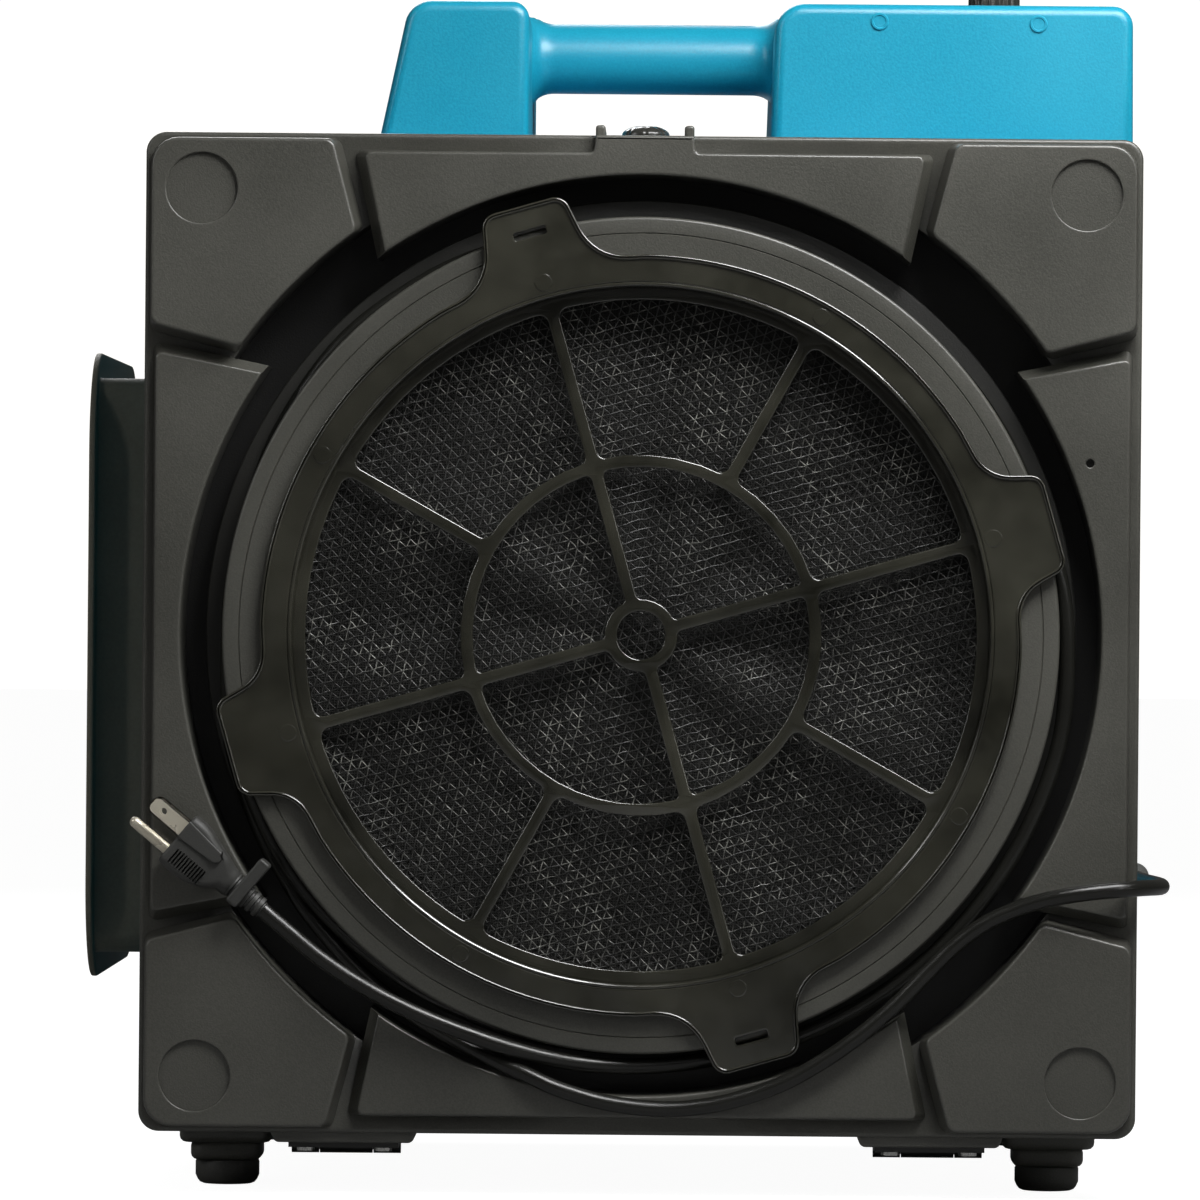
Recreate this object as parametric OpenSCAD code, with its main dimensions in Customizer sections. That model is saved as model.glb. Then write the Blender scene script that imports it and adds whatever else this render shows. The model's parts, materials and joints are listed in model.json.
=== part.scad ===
// Portable air scrubber: round cord-drum intake on a drop-down door, filter stack,
// axial fan in a square side outlet. Millimetres, X right, Y back, Z up, floor at Z = 0.

/* [Cabinet] */
// Width of the front frame
frame_w = 435; // [425:1:445]
// Height of the front frame
frame_h = 436; // [426:1:446]
// Whole depth, front pads to rear bumpers
depth = 416; // [412:1:430]
// Height of the intake's axis above the floor
axis_z = 245; // [244:1:248]
// Wall thickness of the cabinet mouldings
wall = 4; // [3:0.5:5]

/* [Front door] */
// Corner radius of the door's lip
lip_corner = 8; // [4:1:12]
// Radius of the dark channel around the drum, at the corner pads
channel_r = 215; // [213:0.5:216]
// Radius of the channel's edge at the four side panels
panel_arc_r = 200.6; // [199:0.2:203]
// Radius of the circular recess in each corner pad
recess_r = 15.5; // [12:0.5:18]

/* [Cord drum] */
// Radius of the drum's front lip
drum_r = 182.5; // [180:0.5:184]
// Radius of the drum's rear flange
flange_r = 190.5; // [189:0.5:192]
// Radius of the groove's core, where the cord is wound
core_r = 172; // [170:0.5:173]
// Radius of the intake bore
bore_r = 156; // [155:0.5:157]

/* [Pre-filter] */
// Outer radius of the smoked ring
ring_r = 166; // [164:0.5:168]
// Angle of the first tab from straight up, anticlockwise
tab_angle = 15.9; // [10:0.1:20]
// Width of a spoke
spoke_w = 5.4; // [4:0.2:7]

/* [Outlet and fan] */
// Side of the square outlet collar
collar_w = 260; // [250:1:264]
// Side of the collar's thin end flange
flange_w = 284; // [276:1:286]
// Radius swept by the fan blades
fan_r = 115; // [110:0.5:116]
// Number of fan blades
blades = 5; // [4:1:7]

/* [Cord] */
// Diameter of the supply cord
cord_d = 7.1; // [6.8:0.1:7.2]

/* [Hidden] */

$fn = 96;
e = 0.01;
frame_edge = frame_w / 2;
outlet_x = 250;                               // end flange's outer face, left of the intake axis
axis_x = (outlet_x - frame_edge) / 2;         // centres the whole width on the origin
top_z = 283;                                  // handle's top above the intake axis

pad_y = -depth / 2;                           // levels of the front door, front to back
panel_y = pad_y + 6;
drum_y = pad_y + 7;
lip_y = pad_y + 12;
channel_floor_y = pad_y + 47;
door_y = pad_y + 50;
skin = 3.2;

body_w = 426;                                 // cabinet behind the door
body_bottom = -213;
body_top = 213;
rear_y = depth / 2 - 8;
fan_y = 63.5;
fan_z = -16;
carbon_y = door_y + 3;
hepa_y = carbon_y + 13;
bulkhead_y = hepa_y + 72;

pin_y = door_y;                               // door hinge
pin_z = 19.3;
pin_r = 2;
hinge_x = 128;
latch_y = -140;
knob_rim = 4.3;                               // height of the latch knob's straight rim
seat_r = 192;                                 // drum's back ring, seated in the door
release_turn = 15;                            // clockwise turn that frees the pre-filter
foot_x = 182;
plug_face = [-200.3, -212.5, -89.3];          // middle of the plug's front face, from the intake axis
plug_tilt = 40;                               // rise of the plug's axis towards its blades
plug_len = 48.3;

slate = [0.29, 0.29, 0.27];
blue = [0.17, 0.62, 0.78];
black = [0.06, 0.06, 0.06];
steel = [0.75, 0.75, 0.74];

// ---- placing helpers ----

// Draws in the door's plane: x right, y up, z towards the viewer, from the level y
module front(y) { translate([axis_x, y, axis_z]) rotate([90, 0, 0]) children(); }
module slab(back, face) { front(back) linear_extrude(back - face) children(); }
module tube(r_in, r_out, back, face) {
    front(back) difference() {
        cylinder(r = r_out, h = back - face, $fn = 180);
        translate([0, 0, -e]) cylinder(r = r_in, h = back - face + 2 * e, $fn = 180);
    }
}
module rounded(w, h, r) {
    square([w - 2 * r, h], center = true);
    square([w, h - 2 * r], center = true);
    for (x = [-1, 1], y = [-1, 1]) translate([x * (w / 2 - r), y * (h / 2 - r)]) circle(r);
}
module at_quarters() { for (a = [0:90:270]) rotate(a) children(); }
module mirrored() { for (m = [0, 1]) mirror([m, 0, 0]) children(); }
// Draws along the fan's axis: z towards the outlet, from the level x left of the intake axis
module fan_axis(x) { translate([axis_x - x, fan_y, axis_z + fan_z]) rotate([0, -90, 0]) children(); }
module box(lo, hi) { translate(lo) cube(hi - lo); }

// ---- front door ----

module pad_outline(inset = 0) {
    difference() {
        intersection() {
            for (x = [-1, 1], y = [-1, 1]) scale([x, y])
                polygon([[135.5 + inset, 215], [214.5, 215], [214.5, 134 + inset],
                         [165 + inset, 121.3 + inset], [122 + inset, 163.7]]);
            rounded(frame_w - 6 - 2 * inset, frame_h - 6 - 2 * inset, 12);
        }
        circle(channel_r + inset, $fn = 180);
    }
}
module panel_outline(inset = 0) {
    difference() {
        union() {
            for (y = [-1, 1]) scale([1, y])
                polygon([[-122.5 + inset, 210 - inset], [122.5 - inset, 210 - inset],
                         [112 - inset, 160], [-112 + inset, 160]]);
            for (x = [-1, 1]) scale([x, 1])
                polygon([[212.5 - inset, 122.5 - inset], [212.5 - inset, -122.5 + inset],
                         [160, -112 + inset], [160, 112 - inset]]);
        }
        circle(panel_arc_r + inset, $fn = 180);
    }
}
module channel_outline() {
    circle(panel_arc_r, $fn = 180);
    difference() {
        circle(channel_r, $fn = 180);
        panel_outline();
    }
}
module door_shell() {
    difference() {
        union() {
            slab(door_y, lip_y) rounded(frame_w, frame_h, lip_corner);
            slab(lip_y + e, panel_y) panel_outline();
            slab(lip_y + e, pad_y) pad_outline();
        }
        slab(channel_floor_y, pad_y - 1) channel_outline();
        slab(door_y + 1, channel_floor_y - e) circle(seat_r + 0.2, $fn = 180);
        slab(door_y + 1, lip_y + skin) intersection() {
            pad_outline(skin);
            rounded(frame_w - 2 * skin, frame_h - 2 * skin, lip_corner);
        }
        slab(door_y + 1, panel_y + skin) panel_outline(skin);
        for (x = [-1, 1], y = [-1, 1]) front(pad_y + 1.2)
            translate([x * 192.5, y * 193, 0]) cylinder(r = recess_r, h = 3);
        front(panel_y + skin + 2) translate([195, 76.6, 0]) cylinder(r = 1.8, h = 9);
    }
}
module drum() {
    tube(bore_r, seat_r, door_y, channel_floor_y);
    tube(core_r - 3, core_r, door_y - 1, drum_y);
    tube(core_r - 1, flange_r, door_y - 21, door_y - 24);
    tube(core_r - 1, drum_r, drum_y + 3, drum_y);
    tube(bore_r, core_r - 2, drum_y + 3, drum_y);
    difference() {
        tube(bore_r, bore_r + 5, door_y - 1, drum_y);
        tube(bore_r - 1, bore_r + 2.5, drum_y + 16.5, drum_y + 12.5);
        front(drum_y + 16) at_quarters() rotate(tab_angle - release_turn)
            translate([-9, bore_r - 4, 0]) cube([18, 6.5, 20]);
    }
}
module latch_tongue() {
    difference() {
        union() {
            slab(door_y, panel_y) translate([0, 213]) square([43, 9], center = true);
            slab(door_y, panel_y + 4) mirrored() translate([17, 215]) square([4.5, 7.5]);
            box([axis_x - 15, door_y - 1, axis_z + 213.6], [axis_x + 15, latch_y + 13, axis_z + 217]);
        }
        translate([axis_x, latch_y, axis_z + 205]) cylinder(r = 4.2, h = 20);
    }
}
module door_frame() {
    color(slate) {
        door_shell();
        latch_tongue();
        for (x = [-1, 1]) translate([axis_x + x * hinge_x, 0, 0])
            box([-30, lip_y + 2, pin_z + 3.2], [30, door_y - 5, axis_z - frame_h / 2 + 3]);
    }
}
module cord_drum() { color(slate) drum(); }
module door_gasket() {
    color(black) slab(door_y + 2, door_y) difference() {
        rounded(412, 412, 12);
        rounded(396, 396, 6);
    }
}

// ---- hinges ----

// A leaf's plate on one side of the pin, with its knuckles from x0 to x1
module leaf(side, knuckles, bore) {
    difference() {
        union() {
            box([-24, min(4.4 * side, 33 * side), 1], [24, max(4.4 * side, 33 * side), 3.2]);
            for (k = knuckles) {
                translate([k[0], 0, 0]) rotate([0, 90, 0]) cylinder(r = 3.5, h = k[1] - k[0]);
                box([k[0], min(0, 5 * side), 1.2], [k[1], max(0, 5 * side), 3.2]);
            }
        }
        translate([-30, 0, 0]) rotate([0, 90, 0]) cylinder(r = bore, h = 60);
    }
}
module at_hinges() { for (x = [-1, 1]) translate([axis_x + x * hinge_x, pin_y, pin_z]) children(); }
module body_hinge_leaves() { color(black) at_hinges() leaf(1, [[-11.6, 11.6]], pin_r); }
module door_hinge_leaves() {
    color(black) at_hinges() leaf(-1, [[-24, -12], [12, 24]], pin_r + 0.06);
}
module hinge_pins() {
    color(steel) at_hinges() translate([-24, 0, 0]) rotate([0, 90, 0]) cylinder(r = pin_r, h = 48);
}
// Pan-head screws under a leaf
module leaf_screws(side) {
    for (x = [-17, 17]) translate([x, 22 * side, -1]) cylinder(r = 4, h = 2, $fn = 40);
}
module hinge_screws() { color(steel) at_hinges() leaf_screws(1); }
module door_hinge_screws() { color(steel) at_hinges() leaf_screws(-1); }

// ---- latch ----

module latch_keeper() {
    color(black) translate([axis_x, 0, axis_z]) {
        difference() {
            box([-16, door_y + 1, 206.5], [16, latch_y + 14, 209]);
            box([-4.6, door_y, 206], [4.6, latch_y + 5, 210]);
        }
        mirrored() box([4.6, door_y + 2.4, 198], [14, door_y + 7, 206.5]);
    }
}
module latch_knob() {
    color(black) translate([axis_x, latch_y, axis_z + 217.1]) {
        rotate_extrude() polygon(concat([[0, 0], [10.85, 0], [10.85, knob_rim]],
            [for (t = [10:10:80]) [10.85 * cos(t), knob_rim + 4.3 * sin(t)]], [[0, knob_rim + 4.3]]));
    }
}
module latch_shaft() {
    color(steel) translate([axis_x, latch_y, axis_z + 201]) cylinder(r = 3.9, h = 16);
}
module latch_cam() {
    color(steel) translate([axis_x, latch_y, axis_z + 197.9]) box([-3.5, -11, 0], [3.5, 11, 3]);
}

// ---- pre-filter ----

module ring_outline() {
    circle(ring_r, $fn = 180);
    for (k = [0:3]) rotate(tab_angle + 90 * k) {
        reach = k % 2 == 0 ? 194 : 187;
        half = k % 2 == 0 ? 18.5 : 21;
        translate([-half, 120]) square([2 * half, reach - 126]);
        translate([-half + 6, 120]) square([2 * half - 12, reach - 120]);
        mirrored() translate([half - 6, reach - 6]) circle(6);
        polygon([[-half - 13, 160], [-half, 172], [half, 172], [half + 13, 160]]);
    }
}
module wheel_outline() {
    difference() {
        circle(151.8, $fn = 180);
        circle(146.6, $fn = 180);
    }
    difference() {
        circle(79, $fn = 120);
        circle(73.5, $fn = 120);
    }
    difference() {
        union() {
            circle(16);
            at_quarters() {
                rotate(tab_angle) translate([-spoke_w / 2, 0]) square([spoke_w, 148]);
                rotate(tab_angle + 45) translate([-spoke_w / 2, 74]) square([spoke_w, 74]);
            }
        }
        circle(10.5);
    }
}
module prefilter_frame() {
    color([0.2, 0.2, 0.16, 0.9]) {
        slab(drum_y - 0.4, drum_y - 3.5) difference() {
            ring_outline();
            circle(153, $fn = 180);
            for (a = [0, 180]) rotate(tab_angle + a) translate([-7, 180.4]) square([14, 2.5]);
        }
        tube(152, 154.2, drum_y + 17, drum_y - 3.5);
        front(drum_y + 16) at_quarters() rotate(tab_angle)
            intersection() {
                difference() {
                    cylinder(r = bore_r + 2, h = 2.8, $fn = 180);
                    translate([0, 0, -1]) cylinder(r = 154, h = 5, $fn = 180);
                }
                translate([-7, 150, -1]) cube([14, 12, 5]);
            }
    }
}
module prefilter_grille() {
    color([0.2, 0.2, 0.16, 0.9]) slab(drum_y + 12, drum_y + 9) wheel_outline();
}
module prefilter_mesh() {
    color(black) tube(10.8, 151.6, drum_y + 13.3, drum_y + 12.2);
}

// ---- cabinet ----

module shell_outline(inset) {
    translate([0, (body_top + body_bottom) / 2])
        rounded(body_w - 2 * inset, body_top - body_bottom - 2 * inset, 14 - inset);
}
module housing_shell() {
    color(blue) difference() {
        slab(rear_y, door_y + 0.3) shell_outline(0);
        slab(rear_y - wall, door_y - 1) shell_outline(wall);
        fan_axis(200) cylinder(r = fan_r + 4, h = 30, $fn = 120);
        translate([axis_x, 0, axis_z]) box([-8, door_y - 1, 200], [8, latch_y + 8, 220]);
        translate([axis_x + 172, -48, axis_z + 200]) cylinder(r = 20, h = 30);
        translate([axis_x + 200, -52, axis_z - 108]) rotate([0, 90, 0]) cylinder(r = 7.2, h = 20);
    }
}
module block_outline(inset) {
    polygon(concat([[-120.7 + inset, body_top - 1 + inset]],
        [for (t = [168:-13:90]) [-96.6 + (12 - inset) * cos(t), top_z - 12 + (12 - inset) * sin(t)]],
        [for (t = [90:-15:0]) [-60.7 + (8 - inset) * cos(t), top_z - 8 + (8 - inset) * sin(t)]],
        [[-52.7 - inset, body_top - 1 + inset]]));
}
module control_outline(inset) {
    polygon(concat([[55.5 + inset, body_top - 1 + inset]],
        [for (t = [180:-15:90]) [70.7 + (13 - inset) * cos(t), top_z - 13 + (13 - inset) * sin(t)]],
        [for (t = [90:-15:0]) [208.5 + (9 - inset) * cos(t), top_z - 9 + (9 - inset) * sin(t)]],
        [[frame_edge - inset, body_top - 1 + inset]]));
}
module top_handle() {
    color(blue) {
        difference() {
            union() {
                slab(82, -108) block_outline(0);
                slab(150, -108) control_outline(0);
                translate([axis_x - 56, -13, axis_z + 263.5]) rotate([0, 90, 0])
                    cylinder(r = 16, h = 116);
            }
            slab(78, -104) block_outline(wall);
            slab(146, -104) control_outline(wall);
            slab(151, -109) translate([0, 205]) square([600, 16.4], center = true);
            translate([axis_x + 172, -48, axis_z + 205]) cylinder(r = 16, h = 20);
            translate([axis_x + 157, -55, axis_z + 270]) cylinder(r = 4.8, h = 20);
            translate([axis_x + 157, 20, axis_z + 270]) cylinder(r = 6.2, h = 20);
        }
    }
}
module handle_screws() {
    color(steel) for (p = [[-100, -85], [-70, 60], [80, -85], [195, 125]])
        translate([axis_x + p[0], p[1], axis_z + body_top - wall - 2.6]) cylinder(r = 4, h = 2.5, $fn = 40);
}
module base_tray() {
    color(slate) difference() {
        union() {
            box([axis_x - 204, -150, 27], [axis_x + 204, 192, axis_z + body_bottom - 0.2]);
            for (x = [-1, 1], y = [-128, 170]) translate([axis_x + x * foot_x, y, 0]) {
                box([-20.5, -20.5, 19], [20.5, 20.5, 27 + e]);
                box([-15.75, -15.75, 11], [15.75, 15.75, 19 + e]);
            }
            for (x = [-1, 1]) translate([axis_x + x * hinge_x, 0, 0])
                box([-30, door_y + 6, pin_z + 3.2], [30, door_y + 40, 27 + e]);
        }
        for (x = [-1, 1], y = [-128, 170]) translate([axis_x + x * foot_x, y, 0])
            cylinder(r = 2.2, h = 40);
    }
}
module foot(x, y) {
    color(black) translate([axis_x + x * foot_x, y, 0]) difference() {
        rotate_extrude() polygon([[0, 0], [11, 0], [13, 1], [14.25, 3.5], [14.25, 10.9], [0, 10.9]]);
        translate([0, 0, -1]) cylinder(r = 5, h = 5);
        translate([0, 0, -1]) cylinder(r = 2.2, h = 20);
    }
}
module foot_front_left() { foot(-1, -128); }
module foot_front_right() { foot(1, -128); }
module foot_rear_left() { foot(-1, 170); }
module foot_rear_right() { foot(1, 170); }
module foot_screws() {
    color(steel) for (x = [-1, 1], y = [-128, 170]) translate([axis_x + x * foot_x, y, 1.4]) {
        cylinder(r = 4.4, h = 2.5);
        cylinder(r = 2.1, h = 24);
    }
}
module rear_bumpers() {
    color(black) for (x = [-1, 1], z = [-1, 1])
        front(depth / 2) translate([x * 182, z * 182, 0]) cylinder(r = 15, h = 7.9);
}

// ---- filters ----

module bulkhead() {
    color(slate) difference() {
        slab(bulkhead_y + 3, bulkhead_y) rounded(416, 416, 12);
        slab(bulkhead_y + 4, bulkhead_y - 1) rounded(310, 310, 20);
    }
}
module carbon_filter() {
    color([0.12, 0.12, 0.12]) slab(carbon_y + 12, carbon_y) rounded(370, 370, 3);
}
module hepa_frame() {
    color([0.85, 0.85, 0.8]) difference() {
        slab(hepa_y + 70, hepa_y) rounded(372, 372, 2);
        slab(hepa_y + 71, hepa_y - 1) rounded(348, 348, 1);
    }
}
// Pleated paper, folded along Z
module hepa_media() {
    color("white") front(hepa_y + 65) for (i = [0:28])
        translate([-171 + i * 12, -173.8, 0]) cube([6, 347.6, 58]);
}
module hepa_gasket() {
    color(black) difference() {
        slab(hepa_y + 71.9, hepa_y + 70.1) rounded(370, 370, 2);
        slab(hepa_y + 73, hepa_y + 69) rounded(346, 346, 2);
    }
}

// ---- outlet and fan ----

module outlet_collar() {
    color(black) fan_axis(body_w / 2 + 0.2) difference() {
        union() {
            linear_extrude(outlet_x - body_w / 2 - 0.3) rounded(collar_w, collar_w, 11);
            translate([0, 0, outlet_x - body_w / 2 - 3.2]) linear_extrude(3)
                rounded(flange_w, flange_w, 45);
        }
        translate([0, 0, 4]) linear_extrude(40) rounded(collar_w - 7, collar_w - 7, 8);
        translate([0, 0, -1]) cylinder(r = fan_r + 2.5, h = 20, $fn = 120);
    }
}
module outlet_guard() {
    color(steel) fan_axis(body_w / 2 + 8) {
        for (r = [24:18:114]) rotate_extrude() translate([r, 0]) circle(1.2, $fn = 16);
        for (a = [0:60:300]) rotate(a) translate([22, 0, -1.8]) rotate([0, 90, 0])
            cylinder(r = 1.6, h = 103, $fn = 16);
    }
}
module collar_screws() {
    color(steel) fan_axis(body_w / 2 + 4.3) for (x = [-1, 1], y = [-1, 1])
        translate([x * 112, y * 112, 0]) cylinder(r = 4.5, h = 2.4, $fn = 40);
}
module fan_shroud() {
    color(slate) fan_axis(body_w / 2 - 44) difference() {
        union() {
            cylinder(r = fan_r + 3.8, h = 39.8, $fn = 120);
            cylinder(r = fan_r + 9, h = 4, $fn = 120);
        }
        translate([0, 0, -1]) cylinder(r = fan_r + 1.5, h = 50, $fn = 120);
    }
}
module motor_bracket() {
    color(steel) fan_axis(118) difference() {
        union() {
            cylinder(r = 54, h = 4);
            for (a = [45:90:315]) rotate(a) {
                translate([40, -9, 0.5]) cube([80, 18, 3]);
                translate([118, -8, 1]) cube([4, 16, 49.8]);
            }
        }
        translate([0, 0, -1]) cylinder(r = 20, h = 8);
    }
}
module motor_body() { color(slate) fan_axis(42) cylinder(r = 48, h = 75.8); }
module motor_end_cap() { color(steel) fan_axis(32) cylinder(r1 = 34, r2 = 47, h = 9.8); }
module front_bearing() {
    color(steel) fan_axis(122.2) difference() {
        cylinder(r = 16, h = 9);
        translate([0, 0, -1]) cylinder(r = 6.05, h = 12);
    }
}
module motor_shaft() { color(steel) fan_axis(118.2) cylinder(r = 6, h = 66); }
module blade() {
    linear_extrude(height = 34, twist = -32, slices = 6)
        polygon([[34, -3], [118, -1.4], [118, 1.4], [34, 3]] * (fan_r - 0.6) / 118.01);
}
module impeller() {
    color(black) fan_axis(140) {
        difference() {
            cylinder(r = 38, h = 36, $fn = 60);
            translate([0, 0, -1]) cylinder(r = 34, h = 30, $fn = 60);
            translate([0, 0, -1]) cylinder(r = 6.05, h = 50, $fn = 40);
        }
        difference() {
            cylinder(r = 12, h = 30, $fn = 40);
            translate([0, 0, -1]) cylinder(r = 6.05, h = 50, $fn = 40);
        }
        for (i = [0:blades - 1]) rotate(i * 360 / blades) translate([0, 0, 1]) blade();
    }
}
module impeller_nut() {
    color(steel) fan_axis(176.2) difference() {
        cylinder(r = 9, h = 7, $fn = 6);
        translate([0, 0, -1]) cylinder(r = 6.05, h = 12);
    }
}
module run_capacitor() {
    color([0.8, 0.8, 0.78]) translate([axis_x + 120, 120, axis_z - 209 + 3]) cylinder(r = 20, h = 70);
}
module capacitor_clamp() {
    color(steel) translate([axis_x + 120, 120, axis_z - 180]) difference() {
        cylinder(r = 21.5, h = 14);
        translate([0, 0, -1]) cylinder(r = 20.1, h = 16);
    }
}

// ---- controls ----

module speed_switch() {
    color(black) translate([axis_x + 157, -55, axis_z + top_z - wall]) {
        translate([0, 0, -30]) cylinder(r = 17, h = 29.8);
        translate([0, 0, -1]) cylinder(r = 4.6, h = 6);
    }
}
module switch_nut() {
    color(steel) translate([axis_x + 157, -55, axis_z + top_z + 0.1]) difference() {
        cylinder(r = 7, h = 2, $fn = 6);
        translate([0, 0, -1]) cylinder(r = 4.65, h = 4);
    }
}
module speed_knob() {
    color(black) translate([axis_x + 157, -55, axis_z + top_z + 2.6]) {
        cylinder(r = 11.5, h = 5);
        translate([0, 0, 5]) cylinder(r1 = 11.5, r2 = 9.5, h = 8);
        box([-2, -10.5, 10], [2, 10.5, 14.4]);
    }
}
module breaker_body() {
    color(black) translate([axis_x + 157, 20, axis_z + top_z]) difference() {
        union() {
            translate([0, 0, -34]) cylinder(r = 12, h = 30 - 0.2);
            translate([0, 0, -5]) cylinder(r = 6.1, h = 5);
            cylinder(r = 9, h = 3);
        }
        translate([0, 0, -3]) cylinder(r = 4.3, h = 8);
    }
}
module reset_button() {
    color(black) translate([axis_x + 157, 20, axis_z + top_z - 0.5]) cylinder(r = 4.2, h = 6.5);
}

// ---- supply cord ----

// Route of the lead, from the gland round the door's edge to the drum; X and Z from the intake axis
LEAD = [[224, -64, -108], [224, -90, -108], [225.5, -120, -108], [228, -150, -108],
        [229, -165, -108], [228.9, -182, -108], [226.3, -193, -108], [220, -203, -108],
        [210.5, -210, -108.5], [199, -212.5, -109.5], [187, -212.5, -111.2], [175, -210.5, -113.8],
        [163, -208.5, -118], [150, -206.5, -124.5], [138, -205.8, -133.5], [126, -205.8, -145.5],
        [112, -205.8, -160], [97, -205.8, -173], [80, -205.8, -185], [61, -205.8, -195.3],
        [37, -205.8, -203], [13, -205.8, -205.8], [-12, -205.8, -203.5], [-34, -205.6, -197.5],
        [-49, -203.8, -191], [-62, -200, -185.6], [-78, -196, -178], [-95, -193, -168.5],
        [-112, -190.8, -156.5]];
// Route of the tail, from the drum to the plug
TAIL = [[40, -190, -183], [20, -191.5, -186.6], [0, -193.5, -188], [-20, -196.5, -187.3],
        [-38, -200.5, -184.5], [-56, -204.5, -179.8], [-74, -207, -173.8], [-91, -208.7, -167.3],
        [-108, -210, -159.5], [-124, -211.3, -150.6], [-139, -212.2, -140.5], [-151.5, -212.5, -130.2],
        [-163.3, -212.5, -120.3]];
// Route of the supply inside the cabinet, from the gland to the switch
INNER = [[207, -52, -108], [199, -50, -108], [194, -45, -100], [192, -42, -60], [190, -42, 0],
         [188, -42, 120], [182, -45, 190], [172, -50, 225], [165, -53, 246]];

function unit(v) = v / norm(v);
function tangent(p, i) = unit(p[min(i + 1, len(p) - 1)] - p[max(i - 1, 0)]);
function settle(n, t) = unit(n - (n * t) * t);
// Side directions carried along the route without twisting
function sides(p, i = 1, s = undef) =
    let (list = is_undef(s) ? [settle([0.13, 0.2, 1], tangent(p, 0))] : s)
    i == len(p) ? list : sides(p, i + 1, concat(list, [settle(list[i - 1], tangent(p, i))]));
module swept(p, d, n = 8) {
    s = sides(p);
    points = [for (i = [0:len(p) - 1]) for (k = [0:n - 1])
        let (t = tangent(p, i), u = s[i], v = cross(t, u), a = 360 * k / n)
        p[i] + d / 2 * (cos(a) * u + sin(a) * v)];
    walls = [for (i = [0:len(p) - 2]) for (k = [0:n - 1])
        [i * n + k, (i + 1) * n + k, (i + 1) * n + (k + 1) % n, i * n + (k + 1) % n]];
    polyhedron(points, concat(walls, [[for (k = [0:n - 1]) k],
        [for (k = [n - 1:-1:0]) (len(p) - 1) * n + k]]), convexity = 6);
}
module at_axis() { translate([axis_x, 0, axis_z]) children(); }
module cord_lead() { color(black) at_axis() swept(LEAD, cord_d); }
module cord_tail() { color(black) at_axis() swept(TAIL, cord_d); }
module inner_lead() { color(black) at_axis() swept(INNER, cord_d); }
module cord_coil() { color(black) tube(core_r + 0.3, flange_r + 0.5, drum_y + 18.7, drum_y + 3.3); }
// Right-angled strain relief on the cabinet's right wall, facing forwards
module cord_gland() {
    color(black) translate([axis_x, -52, axis_z - 108]) {
        translate([body_w / 2 + 0.1, 0, 0]) rotate([0, 90, 0]) cylinder(r = 11, h = 4);
        translate([206, 0, 0]) rotate([0, 90, 0]) cylinder(r = 7, h = 18);
        translate([224, 5, 0]) rotate([90, 0, 0]) cylinder(r = 7.5, h = 9);
        translate([224, -4, 0]) rotate([90, 0, 0]) cylinder(r1 = 7, r2 = 4.6, h = 8);
    }
}
module gland_nut() {
    color(black) translate([axis_x + 204.8, -52, axis_z - 108]) rotate([0, 90, 0]) difference() {
        cylinder(r = 11, h = 4, $fn = 6);
        translate([0, 0, -1]) cylinder(r = 7.05, h = 10);
    }
}

// ---- plug ----

// Draws in the plug's own frame: z along the blades from the front face, y towards the ground pin
module plug() {
    at_axis() translate(plug_face) rotate([0, plug_tilt - 90, 0]) rotate([0, 0, 90]) children();
}
module plug_body() {
    color(black) plug() {
        translate([0, 0, -30.5]) hull() {
            translate([-8, -5.5, 0]) cube([16, 11, 1]);
            translate([-10, -12.7, 29.5]) cube([20, 25.4, 1]);
        }
        translate([0, 0, -40]) cylinder(r = 5.4, h = 10);
        translate([0, 0, -plug_len]) cylinder(r = 4.6, h = 9.5);
    }
}
module plug_blades() {
    color(steel) plug() for (x = [-6.35, 6.35]) translate([x - 0.75, -8.2, 0]) cube([1.5, 6.35, 17.5]);
}
module plug_ground_pin() {
    color(steel) plug() translate([0, 6.9, 0]) {
        cylinder(r = 2.4, h = 18.2);
        translate([0, 0, 18.2]) sphere(r = 2.4, $fn = 32);
    }
}
module plug_clip() {
    color(black) plug() translate([-8.3, -17.2, -39.2]) difference() {
        cube([16.6, 24, 5.8]);
        translate([8.3, 17.2, -1]) cylinder(r = 5.45, h = 8);
    }
}

housing_shell();
top_handle();
base_tray();
foot_front_left();
foot_front_right();
foot_rear_left();
foot_rear_right();
foot_screws();
rear_bumpers();
bulkhead();
outlet_collar();
outlet_guard();
collar_screws();
fan_shroud();
motor_bracket();
motor_body();
motor_end_cap();
front_bearing();
motor_shaft();
impeller();
impeller_nut();
run_capacitor();
capacitor_clamp();
carbon_filter();
hepa_frame();
hepa_media();
hepa_gasket();
door_frame();
cord_drum();
door_gasket();
body_hinge_leaves();
hinge_pins();
door_hinge_leaves();
hinge_screws();
door_hinge_screws();
latch_keeper();
latch_knob();
latch_shaft();
latch_cam();
prefilter_frame();
prefilter_grille();
prefilter_mesh();
speed_switch();
speed_knob();
switch_nut();
breaker_body();
reset_button();
handle_screws();
cord_gland();
gland_nut();
inner_lead();
cord_lead();
cord_coil();
cord_tail();
plug_body();
plug_blades();
plug_ground_pin();
plug_clip();
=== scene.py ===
import json
import math
import bmesh
import bpy
from mathutils import Matrix, Vector
from mathutils.geometry import tessellate_polygon


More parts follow.
